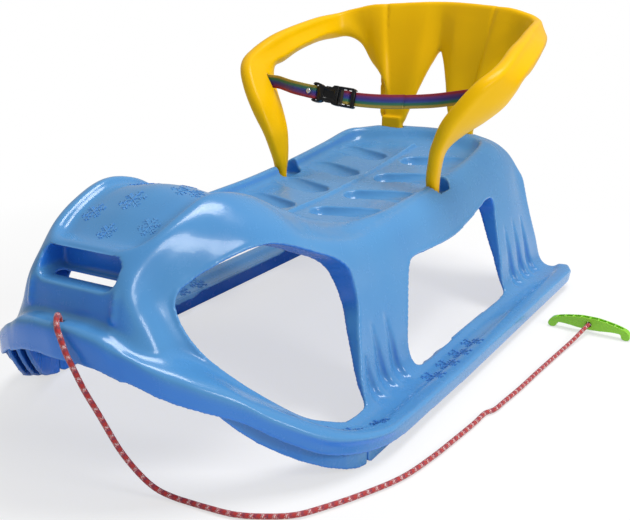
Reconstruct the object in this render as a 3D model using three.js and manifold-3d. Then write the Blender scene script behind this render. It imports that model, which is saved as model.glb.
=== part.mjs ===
// A one-piece plastic pull sled for a small child, with a plug-in backrest, a lap belt,
// runner strips, a pull cord and a grip. Millimetres, +Z up, nose towards -Y.
import * as THREE from 'three';
import { mergeVertices } from 'three/addons/utils/BufferGeometryUtils.js';
import Module from 'manifold-3d';

const wasm = await Module();
wasm.setup();

// Driving sizes
const sledLength = 764;
const gridCount = 76.4;
const square = sledLength / gridCount; // the drawing grid that the station shares count in
const noseToMiddleShift = 1.69 * square; // centres the sled, with its backrest, on its own length
const bodyWall = 3.2;
const returnDepth = 24;
const returnWall = 3;
const returnFootZ = 3 * square; // height where a window's return starts
const returnTopZ = 15 * square; // and where it is full
const gap = 0.3;

// Seat pan
const grooveLength = 86;
const grooveWidth = 34;
const grooveDepth = 13;
const grooveWall = 2.4;
const groovePitch = 7.8 * square;
const grooveFirstY = 2.2 * square;
const grooveMiddleX = 5.4 * square;
const grooveSlant = THREE.MathUtils.degToRad(20);
const railWidth = 5;
const railRise = 3;

// Runner strips
const runnerWidth = 20;
const runnerOuterX = 20.2 * square;
const finWidth = 3.5;
const finCount = 3;
const webRise = 4;
const flangeUnderZ = 1.88 * square;
const railFrontY = -20 * square;
const railRearY = 37 * square;
const toeLength = 6;
const toeRise = 4;

// Backrest
const socketWall = 2.6;
const socketClear = 0.6;
const legWidth = 1.6 * square;
const legDepth = 1.3 * square;
const recessWidth = 2.7 * square; // a roomier opening above each front socket
const recessDepth = 4.1 * square;
const recessTopZ = 19 * square;
const recessFloorZ = 16.2 * square;
const socketFootZ = 13.8 * square;
const rearSocketTopZ = 20.8 * square;
const rearFootZ = 16.6 * square;
const rearTopZ = 21.9 * square;
const rearLegWidth = 33;
const rearLegDepth = 12;
const rearTenonWidth = 32;

// Belt and buckle
const webWidth = 17;
const webThick = 1.6;
const slotClear = 1.2;
const slotWidth = 6.4;
const slotEndX = 15.1 * square; // where the belt ends inside each arm
const slotY = 16.8 * square;
const slotZ = 28.16 * square;
const beltLean = THREE.MathUtils.degToRad(18); // the belt's top edge leans back
const beltLeanStart = 7 * square;
const beltLeanEnd = 12.5 * square;
const socketLength = 37;
const plugLength = 23;
const buckleStart = -6.8 * square;
const mouthX = buckleStart + socketLength; // where socket and plug meet
const buckleEnd = mouthX + plugLength;
const socketSolid = 14; // the socket's length that isn't hollow
const tongueEndClear = 3;
const prongEndClear = 2;
const tongueLength = socketLength - socketSolid - tongueEndClear;
const prongLength = socketLength - socketSolid - prongEndClear;
const prongClear = 0.7;
const plugFront = 3;
const barWindow = 5.6;
const buckleWidth = 24.5;
const buckleThick = 10;
const plugThick = 8;
const innerThick = 6.4;
const innerWidth = 20.6;
const barWidth = 3;
const barThick = 3.2;
const middleBar = buckleEnd - 12;
const middleBarWidth = 2.2;
const middleBarThick = 1.8;
const outerBarStart = buckleEnd - 4.5;
const tailEndX = 5.6 * square;
const tailY = 0.9;
const mainY = 3.2;
const frontY = 2.2;
const foldStart = 4; // from the rivet to where the fold opens
const foldTail = 6; // from the rivet to the fold's loose end
const rivetShank = 3.2;
const rivetHead = 7;

// Cord and grip
const cordDiameter = 5;
const cordSides = 8;
const cordHole = 5.8;
const cordHoleY = -36.15 * square;
const knotSize = 11;
const knotGroove = 0.16;
const gripThick = 9;
const gripHole = 7;
const gripTurnDegrees = -1.5;
const pocketCount = 8;
const pocketReach = 4.1 * square;
const pocketRib = 1.4;
const pocketInset = 3;
const pocketSkin = 1.3;

// Colours
const bodyBlue = 0x4c92d6;
const seatYellow = 0xf3bd08;
const webColour = 0x5a3d8c;
const buckleBlack = 0x17181b;
const rivetGrey = 0xc9ccd0;
const cordRed = 0xb03434;
const gripGreen = 0x82c02c;

const mergeReach = 1e-4; // corners nearer than this are one
const sledReach = 30 * square; // wider than the sled

function plastic(color, roughness = 0.3) {
  return new THREE.MeshStandardMaterial({ color, roughness, metalness: 0 });
}

// Turns a closed geometry into a solid for joining and cutting.
function solidOf(geometry) {
  const plain = geometry.clone();
  plain.deleteAttribute('normal');
  plain.deleteAttribute('uv');
  const merged = mergeVertices(plain, mergeReach);
  const vertProperties = new Float32Array(merged.attributes.position.array);
  const triVerts = new Uint32Array(merged.index.array);
  return new wasm.Manifold(new wasm.Mesh({ numProp: 3, vertProperties, triVerts }));
}

// Turns a solid back into a geometry.
function geometryOf(solid) {
  const mesh = solid.getMesh();
  const geometry = new THREE.BufferGeometry();
  geometry.setAttribute('position', new THREE.Float32BufferAttribute(Array.from(mesh.vertProperties), 3));
  geometry.setIndex(Array.from(mesh.triVerts));
  geometry.computeVertexNormals();
  return geometry;
}

// A closed solid between two point grids of the same size.
function gridSolid(top, bottom) {
  const rows = top.length;
  const cols = top[0].length;
  const positions = [];
  const faces = [];
  [...top.flat(), ...bottom.flat()].forEach((p) => positions.push(p.x, p.y, p.z));
  const at = (side, i, j) => side * rows * cols + i * cols + j;
  for (let i = 0; i < rows - 1; i += 1) {
    for (let j = 0; j < cols - 1; j += 1) {
      faces.push(at(0, i, j), at(0, i, j + 1), at(0, i + 1, j + 1));
      faces.push(at(0, i, j), at(0, i + 1, j + 1), at(0, i + 1, j));
      faces.push(at(1, i, j), at(1, i + 1, j + 1), at(1, i, j + 1));
      faces.push(at(1, i, j), at(1, i + 1, j), at(1, i + 1, j + 1));
    }
  }
  const rim = (a, b, c, d) => faces.push(a, c, b, b, c, d);
  for (let j = 0; j < cols - 1; j += 1) {
    rim(at(0, 0, j), at(0, 0, j + 1), at(1, 0, j), at(1, 0, j + 1));
    rim(at(0, rows - 1, j + 1), at(0, rows - 1, j), at(1, rows - 1, j + 1), at(1, rows - 1, j));
  }
  for (let i = 0; i < rows - 1; i += 1) {
    rim(at(0, i + 1, 0), at(0, i, 0), at(1, i + 1, 0), at(1, i, 0));
    rim(at(0, i, cols - 1), at(0, i + 1, cols - 1), at(1, i, cols - 1), at(1, i + 1, cols - 1));
  }
  const geometry = new THREE.BufferGeometry();
  geometry.setAttribute('position', new THREE.Float32BufferAttribute(positions, 3));
  geometry.setIndex(faces);
  return geometry;
}

// Moves every grid point inward along the grid's own normal.
function offsetGrid(grid, depthAt) {
  const rows = grid.length;
  const cols = grid[0].length;
  return grid.map((row, i) => row.map((p, j) => {
    const along = grid[Math.min(i + 1, rows - 1)][j].clone().sub(grid[Math.max(i - 1, 0)][j]);
    const across = grid[i][Math.min(j + 1, cols - 1)].clone().sub(grid[i][Math.max(j - 1, 0)]);
    const normal = across.cross(along).normalize();
    return p.clone().addScaledVector(normal, -depthAt(i, j));
  }));
}

const at = (p) => new THREE.Vector3(p[0] * square, p[1] * square, p[2] * square);
const shares = (list) => list.map((p) => new THREE.Vector2(p[0] * square, p[1] * square));

// A smooth closed outline through a few points.
function smoothOutline(points, count) {
  const places = points.map((p) => new THREE.Vector3(p.x, p.y, 0));
  const curve = new THREE.CatmullRomCurve3(places, true, 'centripetal');
  return curve.getPoints(count).slice(0, -1).map((p) => new THREE.Vector2(p.x, p.y));
}

// An outline moved outward by a distance.
function grown(points, distance) {
  const turn = THREE.ShapeUtils.isClockWise(points) ? 1 : -1;
  return points.map((p, i) => {
    const before = points[(i + points.length - 1) % points.length];
    const after = points[(i + 1) % points.length];
    const along = after.clone().sub(before).normalize();
    return new THREE.Vector2(p.x - along.y * distance * turn, p.y + along.x * distance * turn);
  });
}

// A prism of an outline, pushed along +Z of its own frame from one level to another.
function prism(points, from, to) {
  const settings = { depth: to - from, bevelEnabled: false, steps: 1 };
  const geometry = new THREE.ExtrudeGeometry(new THREE.Shape(points), settings);
  geometry.translate(0, 0, from);
  return geometry;
}

// A prism whose outline lies in the side view (along, up), pushed across.
function sidePrism(points, from, to) {
  const geometry = prism(points, from, to);
  geometry.applyMatrix4(new THREE.Matrix4().makeBasis(
    new THREE.Vector3(0, 1, 0), new THREE.Vector3(0, 0, 1), new THREE.Vector3(1, 0, 0)));
  return geometry;
}

// A prism whose outline lies in the front view (across, up), pushed along.
function frontPrism(points, from, to) {
  const geometry = prism(points, -to, -from);
  geometry.rotateX(Math.PI / 2);
  return geometry;
}

// A flat slot outline with round ends.
function slotOutline(length, width, sides) {
  const points = [];
  const radius = width / 2;
  [1, -1].forEach((end) => {
    for (let i = 0; i <= sides; i += 1) {
      const angle = -Math.PI / 2 + (Math.PI * i) / sides;
      const x = length / 2 - radius + Math.cos(angle) * radius;
      points.push(new THREE.Vector2(end * x, end * Math.sin(angle) * radius));
    }
  });
  return points;
}

// A rectangle outline with round corners.
function roundRect(width, height, radius, sides) {
  const points = [];
  const corners = [[1, -1, -0.5], [1, 1, 0], [-1, 1, 0.5], [-1, -1, 1]];
  corners.forEach(([sx, sy, start]) => {
    for (let i = 0; i <= sides; i += 1) {
      const angle = Math.PI * (start + (0.5 * i) / sides);
      points.push(new THREE.Vector2(
        sx * (width / 2 - radius) + Math.cos(angle) * radius,
        sy * (height / 2 - radius) + Math.sin(angle) * radius));
    }
  });
  return points;
}

const moved = (geometry, x, y, z) => { geometry.translate(x, y, z); return geometry; };

// Sled body

// Stations from the lip to the tail. Each lists, from the middle outward, the middle, panel edge,
// rim inner top, rim outer top, upper wall, wall foot and flange edge, in squares.
const stationShares = [
  [[0, -37.2, 12.3], [2.2, -37, 12.3], [3.2, -36.9, 12.2], [4.4, -36.7, 12], [5.2, -36.5, 11.7],
    [5.7, -36.4, 11.5], [6.2, -36.25, 11.35]],
  [[0, -37.2, 15.2], [2.2, -37, 15.1], [3.2, -36.9, 14.9], [4.4, -36.7, 14.6], [5.2, -36.5, 14.2],
    [5.8, -36.3, 13.8], [6.6, -36.1, 13.3]],
  [[0, -35.4, 15.3], [2.2, -35.3, 15.3], [3.2, -35.2, 15.2], [4.5, -35.2, 15], [5.4, -35.2, 14.5],
    [6.7, -35.1, 13.5], [8.8, -35, 12.1]],
  [[0, -35.1, 16.2], [2.2, -35, 16.2], [3.3, -34.9, 16.2], [5.1, -34.8, 16], [6.2, -34.5, 14.9],
    [7.6, -34.2, 13.1], [10.2, -34, 11.3]],
  [[0, -34.5, 18.2], [2.2, -34.5, 18.2], [3.8, -34.4, 18.2], [5.3, -34.2, 17.8],
    [6.5, -33.8, 15.8], [8.3, -33.3, 12.7], [11.6, -32.9, 10.5]],
  [[0, -33, 20.4], [2.4, -33, 20.4], [4, -32.9, 20.4], [5.4, -32.5, 19.8], [6.6, -31.8, 16.8],
    [8.8, -31.2, 12], [14, -30.5, 8.9]],
  [[0, -30.7, 20.9], [4.4, -30.6, 20.8], [5, -30.6, 21.4], [5.9, -30.2, 21.5], [7.6, -29.3, 18],
    [10.6, -28.8, 10.1], [16.1, -28.3, 6.8]],
  [[0, -27.5, 22.6], [5, -27.3, 22.3], [5.6, -27.3, 22.9], [6.4, -27.1, 22.8], [8.8, -26.5, 19.6],
    [13.2, -26.2, 7.5], [18.7, -25.2, 4.6]],
  [[0, -23.8, 23.9], [5.2, -23.6, 23.3], [5.8, -23.5, 23.9], [6.7, -23.3, 23.7],
    [10.2, -23.2, 20.3], [15.8, -22.8, 4.1], [20.3, -22.2, 3.6]],
  [[0, -19.5, 23.1], [5.6, -19.3, 22.4], [6.2, -19.2, 23.1], [7.1, -19, 22.9], [11.2, -19, 19.6],
    [17.2, -19, 2.7], [21.3, -18.8, 2.9]],
  [[0, -15, 20.9], [6.2, -14.9, 20.2], [6.9, -14.8, 21], [7.9, -14.7, 20.8], [11.8, -14.8, 18],
    [17.4, -15, 2.4], [21.7, -15, 2.6]],
  [[0, -10.5, 18.4], [7.2, -10.4, 17.8], [7.9, -10.4, 19], [8.9, -10.4, 18.9],
    [12.2, -10.4, 16.8], [17, -10.4, 2.3], [21.7, -10.4, 2.4]],
  [[0, -6.3, 16.8], [8.4, -6, 16.7], [9.3, -6, 17.8], [10.2, -6, 17.7], [12.4, -6, 16],
    [17.1, -6, 2.2], [21.7, -6, 2.3]],
  [[0, -2, 16.5], [9.4, -2, 16.5], [10.2, -2, 17.6], [10.9, -2, 17.5], [12.6, -2, 15.9],
    [17.1, -2, 2.2], [21.7, -2, 2.2]],
  [[0, 6, 16.6], [9.7, 6, 16.6], [10.4, 6, 17.7], [11.1, 6, 17.6], [12.7, 6, 15.9], [17.1, 6, 2.2],
    [21.7, 6, 2.2]],
  [[0, 16, 17.2], [9.7, 16, 17.2], [10.4, 16, 18.3], [11.2, 16, 18.2], [12.7, 16, 16.3], [17.1, 16, 2.2],
    [21.7, 16, 2.2]],
  [[0, 25, 18.1], [9.6, 25, 18.1], [10.3, 25, 19.2], [11.2, 25, 19.1], [12.6, 25, 17], [17.1, 25, 2.2],
    [21.7, 25, 2.2]],
  [[0, 33.6, 19.2], [8.8, 30.6, 18.8], [9.8, 31, 20.2], [10.9, 31.2, 20], [12.5, 31.6, 17.8],
    [17.1, 31, 2.2], [21.7, 31, 2.2]],
  [[0, 35, 20.4], [7.4, 33, 20.3], [8.6, 32.7, 20.3], [10.4, 32.8, 20], [12.4, 33.9, 17.7],
    [17.1, 33.6, 2.2], [21.7, 33.6, 2.2]],
  [[0, 36.9, 20.3], [5.6, 35.9, 20.3], [8.2, 35, 20.1], [10.2, 34.8, 19.6], [12.2, 36.4, 17.4],
    [17.1, 36.4, 2.2], [21.6, 36.4, 2.2]],
  [[0, 37.9, 16.8], [5.6, 37.5, 16.6], [8.6, 37.2, 16.2], [11, 37.7, 15.8], [13, 38.7, 14.8],
    [17.1, 38.4, 2.2], [20.6, 38.8, 2.2]],
];
const stationSteps = [1, 1, 1, 1, 2, 2, 2, 2, 2, 2, 2, 2, 1, 1, 2, 2, 1, 1, 1, 2];
// Height of the edge band at each station, in squares.
const bandShares = [0.12, 2, 2, 2, 1.9, 1.75, 1.6, 1.5, 1.4, 1.2, 1.1, 1, 1, 1, 1, 1, 1, 1, 1, 1, 1];

// One station's points from the middle to the band's lower edge, with the corners eased.
function stationPoints(station, bandShare) {
  const [middle, panel, rimIn, rimOut, wallTop, foot, edge] = station.map(at);
  const rim = new THREE.CatmullRomCurve3([rimIn, rimOut, wallTop, foot], false, 'centripetal');
  const shoulder = rim.getPoint(0.5);
  const easeUp = foot.clone().lerp(wallTop, 0.06);
  const easeOut = foot.clone().lerp(edge, 0.2);
  const low = edge.clone().add(new THREE.Vector3(0.04, 0, -bandShare).multiplyScalar(square));
  return [
    middle, middle.clone().lerp(panel, 0.55), panel, rimIn, rimOut, shoulder, wallTop,
    wallTop.clone().lerp(foot, 0.34), wallTop.clone().lerp(foot, 0.68), easeUp, easeOut, edge, low,
  ];
}

function bodyGrid() {
  const last = stationShares.length - 1;
  const halves = stationShares.map((station, i) => stationPoints(station, bandShares[i]));
  const columnOf = (j) => halves.map((row) => row[j]);
  const columns = halves[0].map((_, j) => new THREE.CatmullRomCurve3(columnOf(j), false, 'centripetal'));
  const grid = [];
  stationSteps.forEach((steps, i) => {
    for (let k = 0; k < steps; k += 1) {
      grid.push(columns.map((curve) => curve.getPoint((i + k / steps) / last)));
    }
  });
  grid.push(halves[last].map((p) => p.clone()));
  return grid.map((half) => {
    const mirrored = half.slice(1).reverse().map((p) => new THREE.Vector3(-p.x, p.y, p.z));
    return [...mirrored, ...half];
  });
}

const frontWindowShares = [
  [-30.5, 15.5], [-30.2, 16.8], [-28.6, 17.9], [-26.3, 18.9], [-23.7, 19.6], [-21.5, 19.6],
    [-19.1, 18.9], [-15.8, 17.5],
  [-12.6, 16], [-11, 14.6], [-10.7, 13.2], [-10.9, 11.1], [-12.3, 8.7], [-14.1, 5.2],
    [-14.9, 3.1], [-16.8, 2.75],
  [-18.9, 3], [-21, 3.75], [-22.8, 4.6], [-24.8, 6.1], [-26.7, 8], [-28.3, 10.1], [-29.6, 12.1],
    [-30.3, 13.9],
];
const rearWindowShares = [
  [-3.2, 2.6], [-3.5, 3.4], [-3.4, 5], [-1.2, 8.8], [0.8, 11.8], [1.6, 12.4], [6.2, 12.3], [13.2, 12.2],
  [18.3, 12.9], [21.8, 13.6], [24.8, 14.1], [26.1, 13.8], [26.3, 12.6], [25.4, 9.4], [24.2, 5], [23.5, 2.8],
  [22.8, 2.55], [10, 2.5],
];

// The space between a patch of the body and its copy at some other place.
function backwardSweep(grid, x, y, z) {
  const step = new THREE.Vector3(x, y, z);
  return solidOf(gridSolid(grid, grid.map((row) => row.map((p) => p.clone().add(step)))));
}

// The same for a window, where the return gets shallower towards its foot.
function windowReturn(grid, direction) {
  const back = grid.map((row) => row.map((p) => {
    const rise = (p.z - returnFootZ) / (returnTopZ - returnFootZ);
    const depth = bodyWall + 2 * gap + returnDepth * Math.min(1, Math.max(0, rise));
    return p.clone().add(new THREE.Vector3(direction * depth, 0, -0.15 * depth));
  }));
  return solidOf(gridSolid(grid, back));
}

const panShares = [[-6, 16.7], [-2, 16.5], [6, 16.6], [16, 17.2], [25, 18.1], [31, 18.9]];
function panLevel(y) {
  const list = shares(panShares);
  const k = Math.max(0, list.findIndex((p, i) => i < list.length - 1 && y <= list[i + 1].x));
  const t = (y - list[k].x) / (list[k + 1].x - list[k].x);
  return list[k].y + (list[k + 1].y - list[k].y) * t;
}

const legX = 10.75 * square;
const legY = 13.45 * square;
const recessX = 10.55 * square;
const recessY = 14.3 * square;
const rearLegX = 5.4 * square;
const rearLegY = 34.9 * square;

function sledBody() {
  const grid = bodyGrid();
  const cols = grid[0].length;
  const middle = (cols - 1) / 2;
  let body = solidOf(gridSolid(grid, offsetGrid(grid, () => bodyWall)));
  [frontWindowShares, rearWindowShares].forEach((list) => {
    const outline = smoothOutline(shares(list), 40);
    const cutter = solidOf(sidePrism(outline, -sledReach, sledReach));
    const frame = solidOf(sidePrism(grown(outline, returnWall), -sledReach, sledReach)).subtract(cutter);
    body = body.subtract(cutter);
    const wallRight = grid.slice(6).map((row) => row.slice(middle + 5, middle + 11));
    const wallLeft = grid.slice(6).map((row) => row.slice(middle - 10, middle - 4));
    const right = windowReturn(wallRight, -1);
    const left = windowReturn(wallLeft, 1);
    body = body.add(right.add(left).intersect(frame));
  });

  // Hand pocket in the front panel, with a slot through its floor.
  const pocketWidth = 8.6 * square;
  const pocketHeight = 2.6 * square;
  const pocketZ = 19.1 * square;
  const pocketBack = -31 * square;
  const pocketPatch = grid.slice(3, 10).map((row) => row.slice(middle - 5, middle + 6));
  const pocketBlock = backwardSweep(pocketPatch, 0, 5 * square, -0.6 * square);
  const walls = 2 * returnWall;
  const pocketOuter = roundRect(pocketWidth + walls, pocketHeight + walls, pocketHeight / 2.4, 4);
  const pocketInner = roundRect(pocketWidth, pocketHeight, pocketHeight / 2.8, 4);
  const pocketFront = -40 * square;
  const linerPrism = frontPrism(pocketOuter, pocketFront, pocketBack + returnWall);
  const liner = solidOf(moved(linerPrism, 0, 0, pocketZ));
  const cavity = solidOf(moved(frontPrism(pocketInner, pocketFront, pocketBack), 0, 0, pocketZ));
  const handOutline = slotOutline(7.8 * square, 1.5 * square, 5);
  const handFloor = pocketZ - pocketHeight / 2 + 0.5 * square;
  const handCut = prism(handOutline, -3 * square, 0.2 * square);
  const handSlot = solidOf(moved(handCut, 0, -32.2 * square, handFloor));
  body = body.add(pocketBlock.intersect(liner)).subtract(cavity).subtract(handSlot);

  // Seat grooves in a herringbone, four a side.
  for (let k = 0; k < 4; k += 1) {
    [1, -1].forEach((side) => {
      const y = grooveFirstY + k * groovePitch;
      const level = panLevel(y);
      const place = (geometry) => {
        geometry.rotateZ(side * grooveSlant);
        return moved(geometry, side * grooveMiddleX, y, level);
      };
      const linerTop = -0.4 * bodyWall;
      const wallOutline = slotOutline(grooveLength + 2 * grooveWall, grooveWidth + 2 * grooveWall, 5);
      const outer = place(prism(wallOutline, -grooveDepth - grooveWall, linerTop));
      const inner = place(prism(slotOutline(grooveLength, grooveWidth, 5), -grooveDepth, grooveDepth));
      body = body.add(solidOf(outer)).subtract(solidOf(inner));
    });
  }

  // Middle rib of the seat.
  const ribTop = panShares.map(([y, z]) => new THREE.Vector2(y * square, z * square + railRise)).slice(1);
  const ribLow = ribTop.map((p) => new THREE.Vector2(p.x, p.y - railRise - 0.4 * bodyWall)).reverse();
  body = body.add(solidOf(sidePrism([...ribTop, ...ribLow], -railWidth / 2, railWidth / 2)));

  // Four sockets for the backrest. Their linings stop inside the sheet.
  const raised = new THREE.Vector3(0, 0, 6 * square);
  const lifted = grid.map((row) => row.map((p) => p.clone().add(raised)));
  const aboveSheet = solidOf(gridSolid(lifted, offsetGrid(grid, () => bodyWall / 2)));
  const socket = (width, depth, x, y, top, low, floor) => {
    const narrow = Math.min(width, depth);
    const sized = (wall, radius) => roundRect(width + 2 * wall, depth + 2 * wall, radius, 3);
    const inside = sized(socketClear, narrow / 2.4);
    const outside = sized(socketClear + socketWall, narrow / 2);
    const from = floor > 0 ? low : low - bodyWall;
    const lining = solidOf(moved(prism(outside, low - floor, top), x, y, 0));
    body = body.add(lining.subtract(aboveSheet));
    body = body.subtract(solidOf(moved(prism(inside, from, top + 3 * square), x, y, 0)));
  };
  [1, -1].forEach((side) => {
    socket(recessWidth, recessDepth, side * recessX, recessY, recessTopZ, recessFloorZ, socketWall);
    socket(legWidth, legDepth, side * legX, legY, recessFloorZ + bodyWall, socketFootZ, 0);
    socket(rearLegWidth, rearLegDepth, side * rearLegX, rearLegY, rearSocketTopZ, recessFloorZ, 0);
  });

  // Cord hole through the ledge at the foot of the front panel.
  const hole = new THREE.CylinderGeometry(cordHole / 2, cordHole / 2, 2 * square, 14).rotateX(Math.PI / 2);
  body = body.subtract(solidOf(moved(hole, 0, cordHoleY, 15 * square)));
  return geometryOf(body);
}

const group = new THREE.Group();
const pieces = new THREE.Group();
pieces.position.y = -noseToMiddleShift;
group.add(pieces);

function addPiece(name, geometry, material) {
  const mesh = new THREE.Mesh(geometry, material);
  mesh.name = name;
  pieces.add(mesh);
  return mesh;
}

addPiece('sled_body', sledBody(), plastic(bodyBlue));

// A closed solid through rings of points that all have the same count, capped at both ends.
function loft(rings, outline) {
  const positions = [];
  const faces = [];
  const count = rings[0].length;
  rings.flat().forEach((p) => positions.push(p.x, p.y, p.z));
  for (let i = 0; i < rings.length - 1; i += 1) {
    for (let j = 0; j < count; j += 1) {
      const a = i * count + j;
      const b = i * count + ((j + 1) % count);
      faces.push(a, b, b + count, a, b + count, a + count);
    }
  }
  const cap = THREE.ShapeUtils.triangulateShape(outline, []);
  const end = (rings.length - 1) * count;
  const isTurned = THREE.ShapeUtils.isClockWise(outline);
  cap.map(([a, b, c]) => (isTurned ? [a, c, b] : [a, b, c])).forEach(([a, b, c]) => {
    faces.push(c, b, a);
    faces.push(end + a, end + b, end + c);
  });
  const geometry = new THREE.BufferGeometry();
  geometry.setAttribute('position', new THREE.Float32BufferAttribute(positions, 3));
  geometry.setIndex(faces);
  return geometry;
}

// A solid that faces outward whichever way its rings ran.
function outwardSolid(geometry) {
  const solid = solidOf(geometry);
  if (solid.volume() > 0) return solid;
  const flipped = geometry.clone();
  const index = Array.from(geometry.index.array);
  for (let i = 0; i < index.length; i += 3) [index[i], index[i + 1]] = [index[i + 1], index[i]];
  flipped.setIndex(index);
  return solidOf(flipped);
}

// Runner strips, three fins under one web

// Comb section: across from the outer face, and up.
function finOutline(height, webHeight) {
  const points = [new THREE.Vector2(0, height), new THREE.Vector2(runnerWidth, height)];
  const pitch = (runnerWidth - finWidth) / (finCount - 1);
  for (let k = finCount - 1; k >= 0; k -= 1) {
    const left = k * pitch;
    const right = left + finWidth;
    if (k < finCount - 1) points.push(new THREE.Vector2(right, height - webHeight));
    points.push(new THREE.Vector2(right, 0), new THREE.Vector2(left, 0));
    if (k > 0) points.push(new THREE.Vector2(left, height - webHeight));
  }
  return points;
}

function runnerRail(side) {
  const height = flangeUnderZ - gap;
  const geometry = frontPrism(finOutline(height, webRise), railFrontY, railRearY);
  const solid = solidOf(moved(geometry, runnerOuterX - runnerWidth, 0, 0));
  const toe = solidOf(sidePrism([
    new THREE.Vector2(railFrontY - gap, -gap), new THREE.Vector2(railFrontY + toeLength, -gap),
    new THREE.Vector2(railFrontY - gap, toeRise)], 0, sledReach));
  const rail = solid.subtract(toe);
  return geometryOf(side > 0 ? rail : rail.mirror([1, 0, 0]));
}

// Bow stations: outer face across and along, bottom and top, in squares.
const bowShares = [
  [20.15, -20.06, 0, 3.6], [19.9, -21.4, 0.15, 4.2], [19.4, -22.7, 0.52, 5],
    [18.4, -24.3, 1.18, 6], [17, -26.2, 2.3, 7],
  [15.6, -27.5, 3.3, 8.2], [14.4, -28.9, 4.55, 9.4], [13.3, -30.3, 6.1, 10.6],
    [12.5, -31.4, 7.5, 11.4], [11.8, -32.2, 8.8, 12],
  [11.3, -32.8, 10.1, 12.4],
];

function runnerFront(side, grid) {
  const stations = bowShares.map(([x, y, low, top]) => ({
    place: new THREE.Vector3(x * square, y * square, 0), low: low * square, top: top * square }));
  const outline = finOutline(1, 0.45);
  const rings = stations.map((station, i) => {
    const before = stations[Math.max(0, i - 1)].place;
    const after = stations[Math.min(stations.length - 1, i + 1)].place;
    const along = i === 0 ? new THREE.Vector3(0, -1, 0) : after.clone().sub(before).normalize();
    const inward = new THREE.Vector3(along.y, -along.x, 0);
    return outline.map((p) => {
      const corner = station.place.clone().addScaledVector(inward, p.x);
      return corner.set(side * corner.x, corner.y, station.low + p.y * (station.top - station.low));
    });
  });
  const under = offsetGrid(grid, () => bodyWall + gap);
  const lifted = grid.map((row) => row.map((p) => p.clone().add(new THREE.Vector3(0, 0, 6 * square))));
  const outside = offsetGrid(grid, () => -square);
  const above = solidOf(gridSolid(lifted, under)).add(solidOf(gridSolid(outside, under)));
  const bodies = outwardSolid(loft(rings, outline)).subtract(above).decompose();
  return geometryOf(bodies.sort((a, b) => b.volume() - a.volume())[0]);
}

const shellGrid = bodyGrid();
addPiece('runner_front_left', runnerFront(1, shellGrid), plastic(bodyBlue));
addPiece('runner_front_right', runnerFront(-1, shellGrid), plastic(bodyBlue));
addPiece('runner_rail_left', runnerRail(1), plastic(bodyBlue));
addPiece('runner_rail_right', runnerRail(-1), plastic(bodyBlue));

// Backrest: stations from a front leg's foot, up and round the arm to the middle of the back.
// Each lists the ridge, the lower edge, and half the thickness at the ridge, middle and lower edge.
const backShares = [
  [[10.75, 12.8, 14], [10.75, 14.1, 14], 0.76, 0.8, 0.76],
  [[10.75, 12.8, 17], [10.75, 14.1, 17], 0.76, 0.8, 0.76],
  [[10.9, 12.3, 18.8], [10.6, 14.5, 18.8], 0.8, 0.85, 0.8],
  [[11.3, 11.9, 20.4], [10.6, 14.7, 20.3], 0.78, 0.85, 0.8],
  [[11.8, 11.4, 22.5], [11, 15.1, 22.3], 0.8, 0.95, 0.85],
  [[12.9, 11.1, 25.3], [12.7, 16.4, 24.2], 1, 1.2, 1.1],
  [[14.4, 11.7, 27.7], [14.7, 18, 25.8], 1, 1.35, 1.3],
  [[16, 13.1, 30], [16.3, 19.2, 27.4], 1, 1.5, 1.5],
  [[17, 14.9, 31.2], [16.9, 20, 28.8], 1, 1.5, 1.7],
  [[17.2, 17.5, 32.3], [17.2, 20.8, 29.6], 1, 1.5, 1.8],
  [[16.9, 21.4, 33.7], [17.3, 22.5, 30], 1, 1.6, 1.9],
  [[16.6, 25, 34.5], [17.2, 25.3, 31], 0.9, 1.55, 1.85],
  [[16.1, 28.1, 35.1], [16.9, 28.2, 31.8], 0.8, 1.45, 1.75],
  [[15.6, 31.8, 35.7], [16.3, 31.6, 32.3], 0.75, 1.25, 1.45],
  [[14.8, 35.5, 36.1], [15.3, 34.9, 32.5], 0.7, 1, 1.1],
  [[13.8, 36.8, 36.5], [13.6, 36.3, 32.7], 0.7, 0.85, 0.85],
  [[12.6, 37.4, 36.8], [11.9, 37, 31.8], 0.7, 0.7, 0.7],
  [[11.4, 37.7, 37.1], [10, 37, 29.3], 0.7, 0.7, 0.65],
  [[10.2, 38, 37.3], [8.3, 36.2, 27.9], 0.7, 0.7, 0.65],
  [[9.3, 38.25, 37.35], [7.1, 35.6, 26.2], 0.7, 0.7, 0.6],
  [[8.6, 38.45, 37.4], [6.7, 35.2, 23], 0.7, 0.7, 0.6],
  [[8, 38.6, 37.45], [6.85, 35, 20.9], 0.7, 0.7, 0.6],
  [[5.4, 39.2, 37.6], [5.4, 35.1, 20.7], 0.7, 0.7, 0.6],
  [[3.2, 39.6, 37.72], [3.9, 35, 20.9], 0.7, 0.7, 0.6],
  [[2.4, 39.75, 37.75], [3.2, 35.5, 22.5], 0.7, 0.7, 0.6],
  [[1.7, 39.85, 37.77], [2.2, 37, 26], 0.7, 0.7, 0.65],
  [[0.9, 39.95, 37.79], [1, 38.4, 29.3], 0.7, 0.7, 0.65],
  [[0, 40, 37.8], [0, 39, 31], 0.7, 0.7, 0.65],
];

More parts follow.
